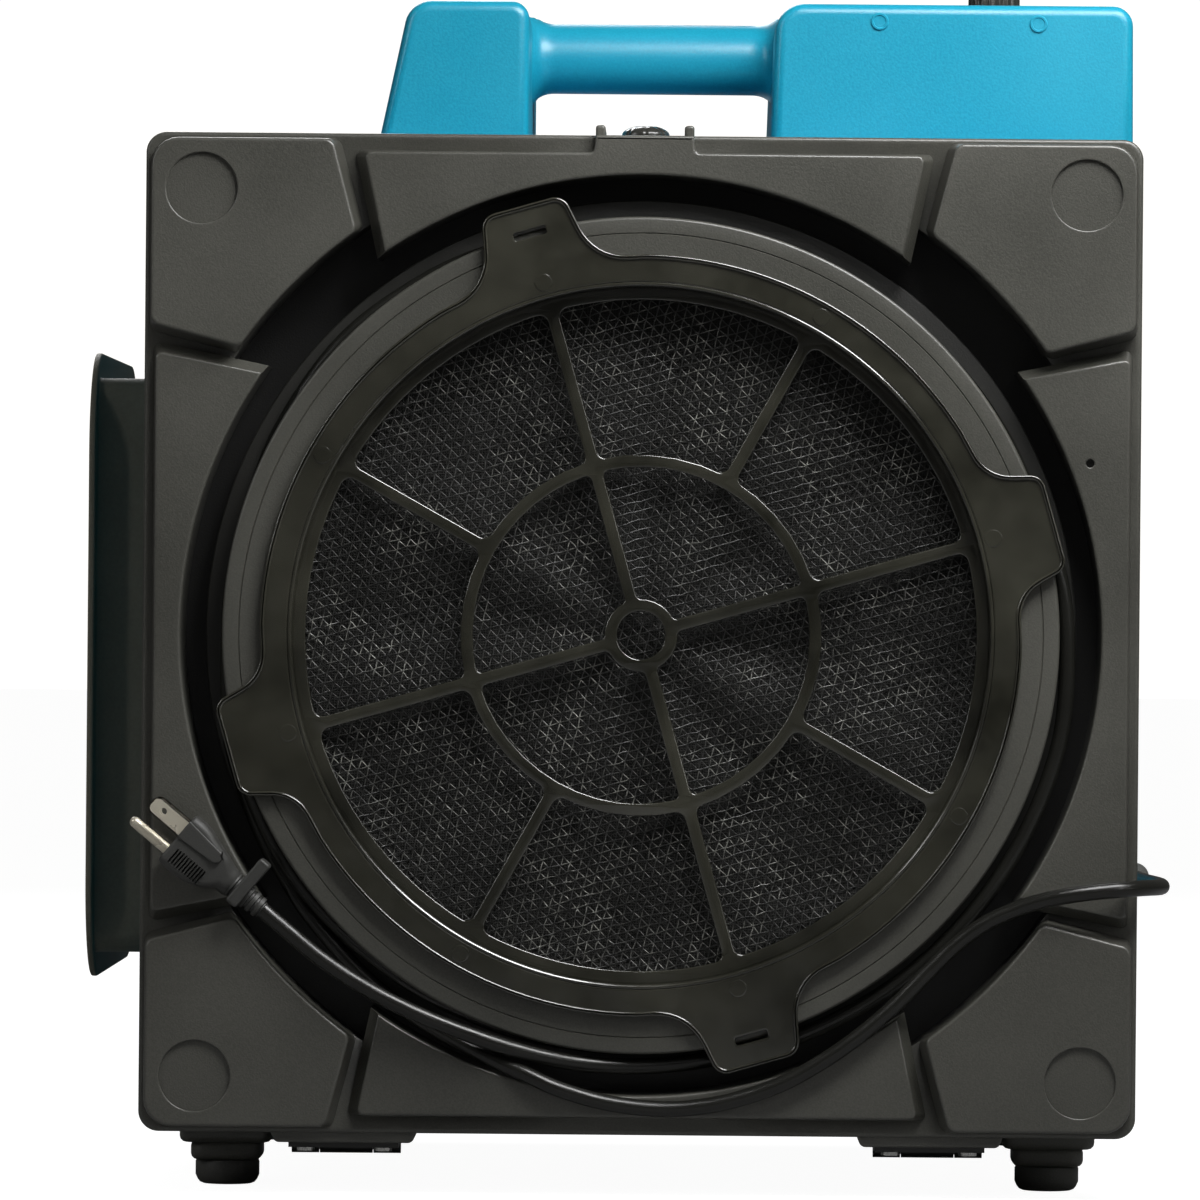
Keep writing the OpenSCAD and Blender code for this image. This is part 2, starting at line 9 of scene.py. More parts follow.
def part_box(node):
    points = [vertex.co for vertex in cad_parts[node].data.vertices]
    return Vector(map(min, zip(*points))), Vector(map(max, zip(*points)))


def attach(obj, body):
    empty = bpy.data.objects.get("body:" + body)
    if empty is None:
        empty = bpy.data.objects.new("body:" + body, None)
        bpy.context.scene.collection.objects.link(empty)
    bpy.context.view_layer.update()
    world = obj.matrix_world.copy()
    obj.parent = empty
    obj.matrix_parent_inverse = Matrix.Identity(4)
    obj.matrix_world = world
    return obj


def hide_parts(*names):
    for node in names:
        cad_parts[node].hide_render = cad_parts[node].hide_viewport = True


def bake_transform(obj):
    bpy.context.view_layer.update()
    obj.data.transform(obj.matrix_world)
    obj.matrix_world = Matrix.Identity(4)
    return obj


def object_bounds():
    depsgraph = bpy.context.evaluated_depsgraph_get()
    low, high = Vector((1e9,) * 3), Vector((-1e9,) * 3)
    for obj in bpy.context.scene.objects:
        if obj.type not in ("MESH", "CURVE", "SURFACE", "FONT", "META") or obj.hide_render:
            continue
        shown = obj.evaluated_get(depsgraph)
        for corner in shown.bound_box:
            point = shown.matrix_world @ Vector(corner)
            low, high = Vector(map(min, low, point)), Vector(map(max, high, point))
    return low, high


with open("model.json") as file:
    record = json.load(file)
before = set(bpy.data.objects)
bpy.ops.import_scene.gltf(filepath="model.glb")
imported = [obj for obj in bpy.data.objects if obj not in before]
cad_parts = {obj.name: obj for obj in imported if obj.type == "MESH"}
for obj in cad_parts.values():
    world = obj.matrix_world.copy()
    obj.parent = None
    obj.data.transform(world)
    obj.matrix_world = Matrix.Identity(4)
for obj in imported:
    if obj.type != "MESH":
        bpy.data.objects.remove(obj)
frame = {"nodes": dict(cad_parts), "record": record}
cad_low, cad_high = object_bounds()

# ---- where things are, in metres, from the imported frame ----

net_low, net_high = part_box("prefilter_mesh")
AXIS_X = (net_low.x + net_high.x) / 2            # axis of the round intake
AXIS_Z = (net_low.z + net_high.z) / 2
door_low, door_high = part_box("door_frame")
PAD_Y = door_low.y                               # front of the corner pads
PANEL_Y = PAD_Y + 0.006
DRUM_Y = PAD_Y + 0.007
LIP_Y = PAD_Y + 0.012
FLOOR_Y = PAD_Y + 0.047                          # bottom of the dark channel
DOOR_Y = PAD_Y + 0.050                           # parting plane of door and cabinet
TAB_TURN = math.radians(15.9)                    # first tab of the pre-filter, anticlockwise from straight up
CORD_D = 0.0071
EDGE = 0.0005                                    # width of the flat strip that keeps a face's shading flat


def door(u, v, level):
    """A point right and up from the intake axis, at a level along Y."""
    return Vector((AXIS_X + u, level, AXIS_Z + v))


def flat(u, v, level):
    """A point in a tree's own space, before the tree's copies are placed."""
    return Vector((u, v, level))


def turned(point, angle):
    """A 2-D point turned anticlockwise about the origin."""
    c, s = math.cos(angle), math.sin(angle)
    return (point[0] * c - point[1] * s, point[0] * s + point[1] * c)


# ---- outlines: lists of 2-D points, anticlockwise ----

def arc(radius, start, end, steps, centre=(0, 0)):
    """Points along an arc, angles in degrees."""
    angles = [math.radians(start + (end - start) * i / steps) for i in range(steps + 1)]
    return [(centre[0] + radius * math.cos(a), centre[1] + radius * math.sin(a)) for a in angles]


def circle(radius, steps=96, centre=(0, 0)):
    return arc(radius, 0, 360, steps, centre)[:-1]


def softened(corners, steps=6):
    """An outline whose corners (u, v, radius) are rounded by arcs."""
    outline = []
    for i, (u, v, radius) in enumerate(corners):
        here = Vector((u, v))
        before = Vector(corners[i - 1][:2]) - here
        after = Vector(corners[(i + 1) % len(corners)][:2]) - here
        if radius == 0 or before.length == 0 or after.length == 0:
            outline.append((u, v))
            continue
        before.normalize()
        after.normalize()
        half = before.angle(after) / 2
        if half > math.radians(89):
            outline.append((u, v))
            continue
        reach = radius / math.tan(half)
        centre = here + (before + after).normalized() * radius / math.sin(half)
        first, last = here + before * reach - centre, here + after * reach - centre
        sweep = first.angle_signed(last)
        for k in range(steps + 1):
            spoke = first.copy()
            spoke.rotate(Matrix.Rotation(-sweep * k / steps, 2))
            outline.append(tuple(centre + spoke))
    return outline


def plain(points):
    return [(p[0], p[1], 0) for p in points]


def box_outline(width, height, radius, centre=(0, 0), steps=6):
    w, h = width / 2, height / 2
    cu, cv = centre
    return softened([(cu + a * w, cv + b * h, radius) for a, b in ((1, -1), (1, 1), (-1, 1), (-1, -1))],
                    steps)


def mirrored(outline, flip_u, flip_v):
    """The outline mirrored, still anticlockwise."""
    points = [(flip_u * u, flip_v * v) for u, v in outline]
    return points if flip_u * flip_v > 0 else points[::-1]


def inset(outline, distance):
    """The outline moved inwards, or outwards where distance is negative."""
    moved = []
    count = len(outline)
    for i in range(count):
        here = Vector(outline[i])
        a = here - Vector(outline[i - 1])
        b = Vector(outline[(i + 1) % count]) - here
        a = a.normalized() if a.length > 1e-9 else b.normalized()
        b = b.normalized() if b.length > 1e-9 else a
        side = Vector((-a.y - b.y, a.x + b.x)).normalized()
        lean = max(0.5, side.dot(Vector((-a.y, a.x))))
        moved.append(tuple(here + side * distance / lean))
    return moved


def edge_rows(base, top, radius, steps=4):
    """Rows (inset, level) of a wall that rises from base and rounds over at top."""
    way = 1 if top > base else -1
    rows = [(0.0, base)]
    for k in range(steps + 1):
        a = math.pi / 2 * k / steps
        rows.append((radius * (1 - math.cos(a)), top - way * radius * (1 - math.sin(a))))
    return rows + [(radius + EDGE, top)]


# ---- meshes ----

def finish_mesh(name, build, angle=32):
    """A mesh object from a bmesh, with outward normals and smooth shading up to an angle."""
    bmesh.ops.recalc_face_normals(build, faces=build.faces)
    mesh = bpy.data.meshes.new(name)
    build.to_mesh(mesh)
    build.free()
    return as_object(name, mesh, angle)


def as_object(name, mesh, angle=32):
    mesh.polygons.foreach_set("use_smooth", [True] * len(mesh.polygons))
    mesh.set_sharp_from_angle(angle=math.radians(angle))
    thing = bpy.data.objects.new(name, mesh)
    bpy.context.scene.collection.objects.link(thing)
    return thing


def ring_of_vertices(build, outline, level, place):
    return [build.verts.new(place(u, v, level)) for u, v in outline]


def wall(build, lower, upper):
    count = len(lower)
    for i in range(count):
        j = (i + 1) % count
        build.faces.new((lower[i], lower[j], upper[j], upper[i]))


def cap(build, loops):
    """Fills the first loop of vertices, around the others."""
    vertices = [v for loop in loops for v in loop]
    for triangle in tessellate_polygon([[v.co for v in loop] for loop in loops]):
        if len(set(triangle)) == 3:
            build.faces.new([vertices[i] for i in triangle])


def add_plate(build, outline, rows, place=door, holes=(), hole_rows=None, base_outline=None):
    """A closed plate: a wall up the rows, with holes through it or sunk into its top.

    rows are (inset, level). A hole is (outline, floor): floor is None where it goes through.
    base_outline, of as many points, replaces the outline at the first two rows.
    """
    levels = []
    for i, (step, level) in enumerate(rows):
        shape = base_outline if base_outline and i < 2 else outline
        levels.append(ring_of_vertices(build, inset(shape, step), level, place))
    for lower, upper in zip(levels, levels[1:]):
        wall(build, lower, upper)
    top_loops, base_loops = [levels[-1]], [levels[0]]
    top = rows[-1][1]
    for shape, floor in holes:
        base = rows[0][1] if floor is None else floor
        steps = hole_rows if hole_rows else edge_rows(base, top, 0.0004, 2)
        if floor is not None and hole_rows is None:
            steps = edge_rows(floor, top, 0.0005, 3)
        inner = [ring_of_vertices(build, inset(shape, -step), level, place) for step, level in steps]
        for lower, upper in zip(inner, inner[1:]):
            wall(build, lower, upper)
        top_loops.append(inner[-1])
        if floor is None:
            base_loops.append(inner[0])
        else:
            cap(build, [inner[0]])
    cap(build, top_loops)
    cap(build, base_loops)


def plate(name, outline, rows, **options):
    build = bmesh.new()
    add_plate(build, outline, rows, **options)
    return finish_mesh(name, build)


def add_lathe(build, profile, place, steps=180):
    """A closed profile of (radius, level) turned about the axis."""
    rings = []
    for radius, level in profile:
        if radius < 1e-6:
            rings.append([build.verts.new(place(0, 0, level))])
        else:
            rings.append(ring_of_vertices(build, circle(radius, steps), level, place))
    pairs = list(zip(rings, rings[1:]))
    if len(rings[0]) > 1 or len(rings[-1]) > 1:
        pairs.append((rings[-1], rings[0]))
    for lower, upper in pairs:
        if len(lower) == 1 and len(upper) == 1:
            continue
        if len(lower) > 1 and len(upper) > 1:
            wall(build, lower, upper)
            continue
        point, loop = (lower[0], upper) if len(lower) == 1 else (upper[0], lower)
        for i in range(len(loop)):
            build.faces.new((point, loop[i], loop[(i + 1) % len(loop)]))


def lathe(name, profile, place, steps=180, angle=32):
    build = bmesh.new()
    add_lathe(build, profile, place, steps)
    return finish_mesh(name, build, angle)


def round_corner(radius_at, level_at, size, start, end, steps=4):
    """Profile points of a rounded edge about a centre, angles in degrees."""
    return arc(size, start, end, steps, (radius_at, level_at))


def box_rows(low, high, radius, steps=3):
    """Rows of a solid that is rounded at both ends."""
    first = [(i, low + high - l) for i, l in edge_rows(low, high, radius, steps)[1:]]
    return first[::-1] + edge_rows(low, high, radius, steps)[1:]


def joined(name, pieces):
    """One object from several meshes that sit at the origin."""
    build = bmesh.new()
    for piece in pieces:
        build.from_mesh(piece.data)
        bpy.data.objects.remove(piece)
    mesh = bpy.data.meshes.new(name)
    build.to_mesh(mesh)
    build.free()
    return as_object(name, mesh)


def baked(thing):
    """The object as a plain mesh, its modifiers applied."""
    bpy.context.view_layer.update()
    graph = bpy.context.evaluated_depsgraph_get()
    mesh = bpy.data.meshes.new_from_object(thing.evaluated_get(graph))
    thing.modifiers.clear()
    thing.data = mesh
    return thing


def wear(thing, finish, body, slot, *stands_for):
    """Gives a piece its finish and body, and hides the CAD nodes that it stands for. slot is not used."""
    thing.data.materials.clear()
    thing.data.materials.append(finish)
    if body:
        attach(thing, body)
    if stands_for:
        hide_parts(*stands_for)
    return thing


def softened_node(node, name, width, segments=2, angle=40):
    """A copy of a CAD node's mesh with rounded edges."""
    build = bmesh.new()
    build.from_mesh(frame["nodes"][node].data)
    bmesh.ops.remove_doubles(build, verts=build.verts, dist=1e-6)
    bmesh.ops.dissolve_limit(build, angle_limit=math.radians(1), verts=build.verts, edges=build.edges)
    mesh = bpy.data.meshes.new(name)
    build.to_mesh(mesh)
    build.free()
    thing = as_object(name, mesh)
    bevel = thing.modifiers.new("edges", "BEVEL")
    bevel.width = width
    bevel.segments = segments
    bevel.limit_method = "ANGLE"
    bevel.angle_limit = math.radians(angle)
    baked(thing)
    thing.data.polygons.foreach_set("use_smooth", [True] * len(thing.data.polygons))
    thing.data.set_sharp_from_angle(angle=math.radians(35))
    return thing


# ---- node trees ----

def add(tree, kind, inputs=None, **settings):
    """A node with its settings made and its inputs set or linked."""
    node = tree.nodes.new(kind)
    for key, value in settings.items():
        setattr(node, key, value)
    for key, value in (inputs or {}).items():
        if isinstance(value, bpy.types.NodeSocket):
            tree.links.new(value, node.inputs[key])
        else:
            node.inputs[key].default_value = value
    return node


def geometry_tree(name, sockets):
    """An empty Geometry Nodes tree with named inputs (label, kind, value)."""
    tree = bpy.data.node_groups.new(name, "GeometryNodeTree")
    tree.interface.new_socket("Geometry", in_out="OUTPUT", socket_type="NodeSocketGeometry")
    for label, kind, value in sockets:
        socket = tree.interface.new_socket(label, in_out="INPUT", socket_type="NodeSocket" + kind)
        if value is not None:
            socket.default_value = value
    return tree, tree.nodes.new("NodeGroupInput").outputs


def close_tree(tree, geometry, finish):
    """Ends a tree in Realize Instances and Set Material."""
    real = add(tree, "GeometryNodeRealizeInstances", {"Geometry": geometry})
    coated = add(tree, "GeometryNodeSetMaterial", {"Geometry": real.outputs[0], "Material": finish})
    out = tree.nodes.new("NodeGroupOutput")
    tree.links.new(coated.outputs[0], out.inputs[0])


def grown(name, tree, values, matrix=None, angle=32):
    """Runs a tree with these input values and returns a plain mesh object."""
    carrier = bpy.data.objects.new(name, bpy.data.meshes.new(name))
    bpy.context.scene.collection.objects.link(carrier)
    modifier = carrier.modifiers.new("grow", "NODES")
    modifier.node_group = tree
    for item in tree.interface.items_tree:
        if item.in_out == "INPUT" and item.name in values:
            modifier[item.identifier] = values[item.name]
    baked(carrier)
    mesh = carrier.data
    bpy.data.objects.remove(carrier)
    if matrix:
        mesh.transform(matrix)
    return as_object(name, mesh, angle)


def grid_tree(name, finish):
    """Copies of an item on a grid of rows and columns."""
    tree, given = geometry_tree(name, [
        ("Item", "Object", None), ("Columns", "Int", 2), ("Rows", "Int", 2),
        ("Width", "Float", 0.1), ("Height", "Float", 0.1)])
    grid = add(tree, "GeometryNodeMeshGrid", {
        "Size X": given["Width"], "Size Y": given["Height"],
        "Vertices X": given["Columns"], "Vertices Y": given["Rows"]})
    item = add(tree, "GeometryNodeObjectInfo", {"Object": given["Item"]})
    spread = add(tree, "GeometryNodeInstanceOnPoints", {
        "Points": grid.outputs["Mesh"], "Instance": item.outputs["Geometry"]})
    close_tree(tree, spread.outputs[0], finish)
    return tree


def ring_tree(name, finish):
    """Copies of an item round the Z axis, each turned to face outwards."""
    tree, given = geometry_tree(name, [
        ("Item", "Object", None), ("Count", "Int", 8), ("Radius", "Float", 0.1), ("Start", "Float", 0.0)])
    line = add(tree, "GeometryNodeMeshLine", {"Count": given["Count"], "Offset": (0.0, 0.0, 0.0)})
    index = add(tree, "GeometryNodeInputIndex")
    full = add(tree, "ShaderNodeMath", {0: math.tau, 1: given["Count"]}, operation="DIVIDE")
    turn = add(tree, "ShaderNodeMath", {0: index.outputs[0], 1: full.outputs[0], 2: given["Start"]},
               operation="MULTIPLY_ADD")
    facing = add(tree, "ShaderNodeCombineXYZ", {"Z": turn.outputs[0]})
    across = add(tree, "ShaderNodeCombineXYZ", {"X": given["Radius"]})
    placed = add(tree, "ShaderNodeVectorRotate", {"Vector": across.outputs[0], "Angle": turn.outputs[0]},
                 rotation_type="Z_AXIS")
    moved = add(tree, "GeometryNodeSetPosition", {
        "Geometry": line.outputs["Mesh"], "Position": placed.outputs[0]})
    item = add(tree, "GeometryNodeObjectInfo", {"Object": given["Item"]})
    spread = add(tree, "GeometryNodeInstanceOnPoints", {
        "Points": moved.outputs[0], "Instance": item.outputs["Geometry"], "Rotation": facing.outputs[0]})
    close_tree(tree, spread.outputs[0], finish)
    return tree


def placing(place):
    """The matrix that takes a tree's own X, Y, Z to a place's u, v, level."""
    origin = place(0, 0, 0)
    axes = [place(1, 0, 0) - origin, place(0, 1, 0) - origin, place(0, 0, 1) - origin]
    matrix = Matrix([[axes[c][r] for c in range(3)] for r in range(3)]).to_4x4()
    matrix.translation = origin
    return matrix


def copies(name, tree, item, place, **values):
    """Grows copies of an item with a tree, and removes the item itself."""
    thing = grown(name, tree, {"Item": item, **values}, placing(place))
    bpy.data.objects.remove(item)
    build = bmesh.new()
    build.from_mesh(thing.data)
    bmesh.ops.recalc_face_normals(build, faces=build.faces)
    build.to_mesh(thing.data)
    build.free()
    return thing


# ---- finishes ----

def finish_of(name, **sockets):
    """A new material with values set on its shader, with its tree, shader and object coordinates."""
    made = bpy.data.materials.new(name)
    made.use_nodes = True
    tree = made.node_tree
    shader = tree.nodes["Principled BSDF"]
    for key, value in sockets.items():
        shader.inputs[key.replace("_", " ")].default_value = value
    place = add(tree, "ShaderNodeTexCoord").outputs["Object"]
    return made, tree, shader, place


def noise_of(tree, place, scale, detail=2.0, roughness=0.5):
    return add(tree, "ShaderNodeTexNoise", {
        "Vector": place, "Scale": scale, "Detail": detail, "Roughness": roughness}).outputs["Fac"]


def spread_to(tree, value, low, high, source=(0.3, 0.7)):
    return add(tree, "ShaderNodeMapRange", {
        "Value": value, "From Min": source[0], "From Max": source[1],
        "To Min": low, "To Max": high}).outputs[0]


def two_tone(tree, share, dark, light):
    return add(tree, "ShaderNodeMix", {"Factor": share, 6: (*dark, 1), 7: (*light, 1)},
               data_type="RGBA").outputs[2]


def bumped(tree, shader, height, depth, strength=1.0):
    bump = add(tree, "ShaderNodeBump", {"Height": height, "Distance": depth, "Strength": strength})
    tree.links.new(bump.outputs[0], shader.inputs["Normal"])


def moulded(name, dark, light, roughness, grain=1500.0, depth=0.00006, speck=0.35, cloud=9.0, painted_shade_depths=None,
            **sockets):
    """Moulded plastic: a grained skin, speckled colour and patchy gloss; where painted_shade_depths is given,
    painted shade darkens the colour to near black deeper back along Y.
    """
    made, tree, shader, place = finish_of(name, **sockets)
    grains = noise_of(tree, place, grain, 2.0)
    clouds = noise_of(tree, place, cloud, 4.0)
    share = add(tree, "ShaderNodeMath", {
        0: spread_to(tree, grains, 0.0, speck, (0.35, 0.65)),
        1: spread_to(tree, clouds, 0.0, 1.0 - speck)}, operation="ADD").outputs[0]
    colour = two_tone(tree, share, dark, light)
    # painted shade: the colour goes to near black with depth along Y, where the channel lies in shadow
    if painted_shade_depths:
        back = add(tree, "ShaderNodeSeparateXYZ", {"Vector": place}).outputs["Y"]
        colour = add(tree, "ShaderNodeMix", {"Factor": spread_to(tree, back, 0.0, 1.0, painted_shade_depths), 6: colour,
                                             7: (0.004, 0.004, 0.0035, 1)}, data_type="RGBA").outputs[2]
    tree.links.new(colour, shader.inputs["Base Color"])
    tree.links.new(spread_to(tree, clouds, roughness[0], roughness[1]), shader.inputs["Roughness"])
    bumped(tree, shader, grains, depth)
    return made


def scuffed(name, dark, light, roughness, depth=0.00004, scratch=0.5, **sockets):
    """Smooth moulded or enamelled skin with faint scratches and handling marks."""
    made, tree, shader, place = finish_of(name, **sockets)
    stretched = add(tree, "ShaderNodeMapping", {"Vector": place, "Scale": (60.0, 60.0, 900.0),
                                                "Rotation": (0.5, 0.9, 0.2)}).outputs[0]
    lines = noise_of(tree, stretched, 6.0, 3.0)
    clouds = noise_of(tree, place, 22.0, 4.0, 0.6)
    tree.links.new(two_tone(tree, clouds, dark, light), shader.inputs["Base Color"])
    marks = add(tree, "ShaderNodeMath", {
        0: spread_to(tree, lines, 0.0, scratch, (0.55, 0.7)), 1: clouds}, operation="MULTIPLY").outputs[0]
    tree.links.new(spread_to(tree, marks, roughness[0], roughness[1], (0.0, 0.5)),
                   shader.inputs["Roughness"])
    bumped(tree, shader, noise_of(tree, place, 320.0, 2.0), depth)
    return made


def brushed(name, dark, light, roughness=(0.22, 0.4), scale=(1400.0, 60.0, 60.0), metal=1.0):
    """Plated metal with fine lines along one way."""
    made, tree, shader, place = finish_of(name, Metallic=metal)
    lines = noise_of(tree, add(tree, "ShaderNodeMapping", {"Vector": place, "Scale": scale}).outputs[0],
                     2.0, 3.0)
    tree.links.new(two_tone(tree, lines, dark, light), shader.inputs["Base Color"])
    tree.links.new(spread_to(tree, lines, roughness[0], roughness[1]), shader.inputs["Roughness"])
    bumped(tree, shader, lines, 0.00002)
    return made


def cord_finish():
    """Glossy extruded jacket: faint drawn lines along the cord, and dull rubbed patches."""
    made, tree, shader, place = finish_of("cord_jacket", Specular_IOR_Level=0.36, Coat_Weight=0.08,
                                          Coat_Roughness=0.1)
    run = add(tree, "ShaderNodeUVMap", uv_map="along_cord").outputs[0]
    drawn = noise_of(tree, add(tree, "ShaderNodeMapping", {
        "Vector": run, "Scale": (2.0, 60.0, 1.0)}).outputs[0], 4.0, 3.0)
    rubbed = noise_of(tree, place, 45.0, 4.0, 0.65)
    tree.links.new(two_tone(tree, rubbed, (0.007, 0.007, 0.006), (0.013, 0.013, 0.011)),
                   shader.inputs["Base Color"])
    tree.links.new(spread_to(tree, rubbed, 0.18, 0.26), shader.inputs["Roughness"])
    bumped(tree, shader, drawn, 0.00004)
    return made


def smoked_finish():
    """Smoked see-through plastic: olive black, glossy, a little wavy."""
    made, tree, shader, place = finish_of(
        "smoked_plastic", Transmission_Weight=0.2, IOR=1.5, Coat_Weight=0.7, Coat_Roughness=0.05,
        Specular_IOR_Level=0.8)
    flow = spread_to(tree, noise_of(tree, place, 16.0, 4.0, 0.6), 0.0, 1.0, (0.32, 0.72))
    tree.links.new(two_tone(tree, flow, (0.008, 0.008, 0.005), (0.048, 0.047, 0.035)),
                   shader.inputs["Base Color"])
    tree.links.new(spread_to(tree, noise_of(tree, place, 60.0, 3.0), 0.10, 0.24),
                   shader.inputs["Roughness"])
    bumped(tree, shader, noise_of(tree, place, 26.0, 2.0), 0.0011, 0.8)
    return made


def net_finish():
    """Shiny black monofilament, with painted glints: sparse patches where the colour goes to light grey and
    the roughness drops.
    """
    made, tree, shader, place = finish_of("nylon_net", Specular_IOR_Level=0.6, Coat_Weight=0.15,
            Coat_Roughness=0.2)
    # painted highlight: sparse glint patches lighten the black strands' colour to grey
    patches = spread_to(tree, noise_of(tree, place, 34.0, 2.0), 0.10, 1.0, (0.42, 0.66))
    painted_glint = add(tree, "ShaderNodeMath", {
        0: spread_to(tree, noise_of(tree, place, 260.0, 2.0), 0.0, 1.0, (0.46, 0.66)), 1: patches},
        operation="MULTIPLY").outputs[0]
    tree.links.new(two_tone(tree, painted_glint, (0.010, 0.010, 0.009), (0.190, 0.190, 0.172)),
                   shader.inputs["Base Color"])
    tree.links.new(spread_to(tree, painted_glint, 0.40, 0.16, (0.0, 0.6)), shader.inputs["Roughness"])
    bumped(tree, shader, noise_of(tree, place, 900.0), 0.0002)
    return made


def cloth_finish(name, dark, light, pitch, depth, roughness=0.8, sheen=0.4):
    """Plain woven or felted sheet: two crossed sets of threads with fluff over them."""
    made, tree, shader, place = finish_of(name, Roughness=roughness, Sheen_Weight=sheen)
    flat = add(tree, "ShaderNodeMapping", {"Vector": place, "Scale": (1.0, 0.0, 1.0)}).outputs[0]
    threads = [add(tree, "ShaderNodeTexWave", {"Vector": flat, "Scale": 0.31 / pitch, "Distortion": 1.5,
                                               "Detail Scale": 3.0}, bands_direction=way).outputs["Fac"]
               for way in ("X", "Z")]
    weave = add(tree, "ShaderNodeMath", {0: threads[0], 1: threads[1]}, operation="MAXIMUM").outputs[0]
    fluff = noise_of(tree, place, 900.0, 3.0)
    height = add(tree, "ShaderNodeMath", {0: weave, 1: fluff}, operation="ADD").outputs[0]
    tree.links.new(two_tone(tree, spread_to(tree, height, 0.0, 1.0, (0.6, 1.5)), dark, light),
                   shader.inputs["Base Color"])
    bumped(tree, shader, height, depth)
    return made


SLATE_LOOK = ((0.031, 0.031, 0.0258), (0.068, 0.067, 0.0565), (0.38, 0.5), 1300.0, 0.00012)
SLATE = moulded("slate_frame", *SLATE_LOOK, Coat_Weight=0.45, Coat_Roughness=0.13)
# slate with painted shade: darkened to near black down in the channel, for the door lip and the winding drum
SHADED = moulded("slate_painted_shade", *SLATE_LOOK, painted_shade_depths=(LIP_Y + 0.002, LIP_Y + 0.018), Coat_Weight=0.3,
                 Coat_Roughness=0.2)
# the base's slate, lighter than the frame's: painted light against the shade under the cabinet
SLATE_BASE_PAINTED_LIGHT = moulded("slate_base_painted_light", (0.060, 0.060, 0.052), (0.105, 0.104, 0.090), (0.4, 0.5), 1300.0, 0.0001)
# black collar plastic coloured mid grey: painted light for the outlet collar, which sits in shade behind the
# door
COLLAR_PAINTED_LIGHT = moulded("collar_black_painted_light", (0.125, 0.117, 0.088), (0.170, 0.160, 0.122), (0.55, 0.66), 700.0, 0.00008,
                 cloud=30.0)
BLUE = moulded("blue_shell", (0.004, 0.200, 0.305), (0.010, 0.265, 0.385), (0.30, 0.40), 900.0, 0.00006,
               0.5)
BLACK = scuffed("black_moulding", (0.016, 0.016, 0.014), (0.027, 0.027, 0.024), (0.22, 0.42))
# black rubber: its own dark tone, raised as painted light against the shade on the feet under the cabinet;
# the gland and bumpers share it
RUBBER_PAINTED_LIGHT = moulded("black_rubber", (0.050, 0.050, 0.045), (0.085, 0.085, 0.077), (0.5, 0.68), 1100.0, 0.00008)
PLUG = moulded("plug_rubber", (0.020, 0.0205, 0.019), (0.037, 0.037, 0.034), (0.42, 0.54), 1200.0, 0.00005)
CORD = cord_finish()
SMOKED = smoked_finish()
NYLON_NET_PAINTED_GLINTS = net_finish()
LINING = cloth_finish("net_lining", (0.002, 0.002, 0.002), (0.016, 0.016, 0.014), 0.0011, 0.0003, 1.0, 0.0)
CARBON = cloth_finish("carbon_foam", (0.006, 0.006, 0.006), (0.022, 0.022, 0.022), 0.0035, 0.0012, 0.95,
                      0.1)
PAPER = cloth_finish("filter_paper", (0.62, 0.61, 0.57), (0.82, 0.81, 0.77), 0.004, 0.0003, 0.9, 0.1)
CARD = moulded("filter_card", (0.55, 0.50, 0.40), (0.68, 0.63, 0.52), (0.7, 0.85), 240.0, 0.0001)
ZINC = brushed("zinc_screw", (0.42, 0.42, 0.42), (0.72, 0.71, 0.68))
BRASS = brushed("plug_metal", (0.60, 0.55, 0.44), (0.70, 0.66, 0.55), (0.26, 0.32), (30.0, 30.0, 30.0), 0.5)
ALLOY = brushed("motor_alloy", (0.40, 0.40, 0.41), (0.62, 0.62, 0.63), (0.35, 0.55), (500.0, 500.0, 500.0))
STEEL = scuffed("black_steel", (0.008, 0.008, 0.008), (0.020, 0.020, 0.018), (0.3, 0.5))
ENAMEL = scuffed("motor_paint", (0.020, 0.021, 0.024), (0.040, 0.041, 0.045), (0.3, 0.5))
RED = scuffed("reset_red", (0.22, 0.008, 0.006), (0.34, 0.014, 0.010), (0.25, 0.4))

# ---- camera, floor and light ----

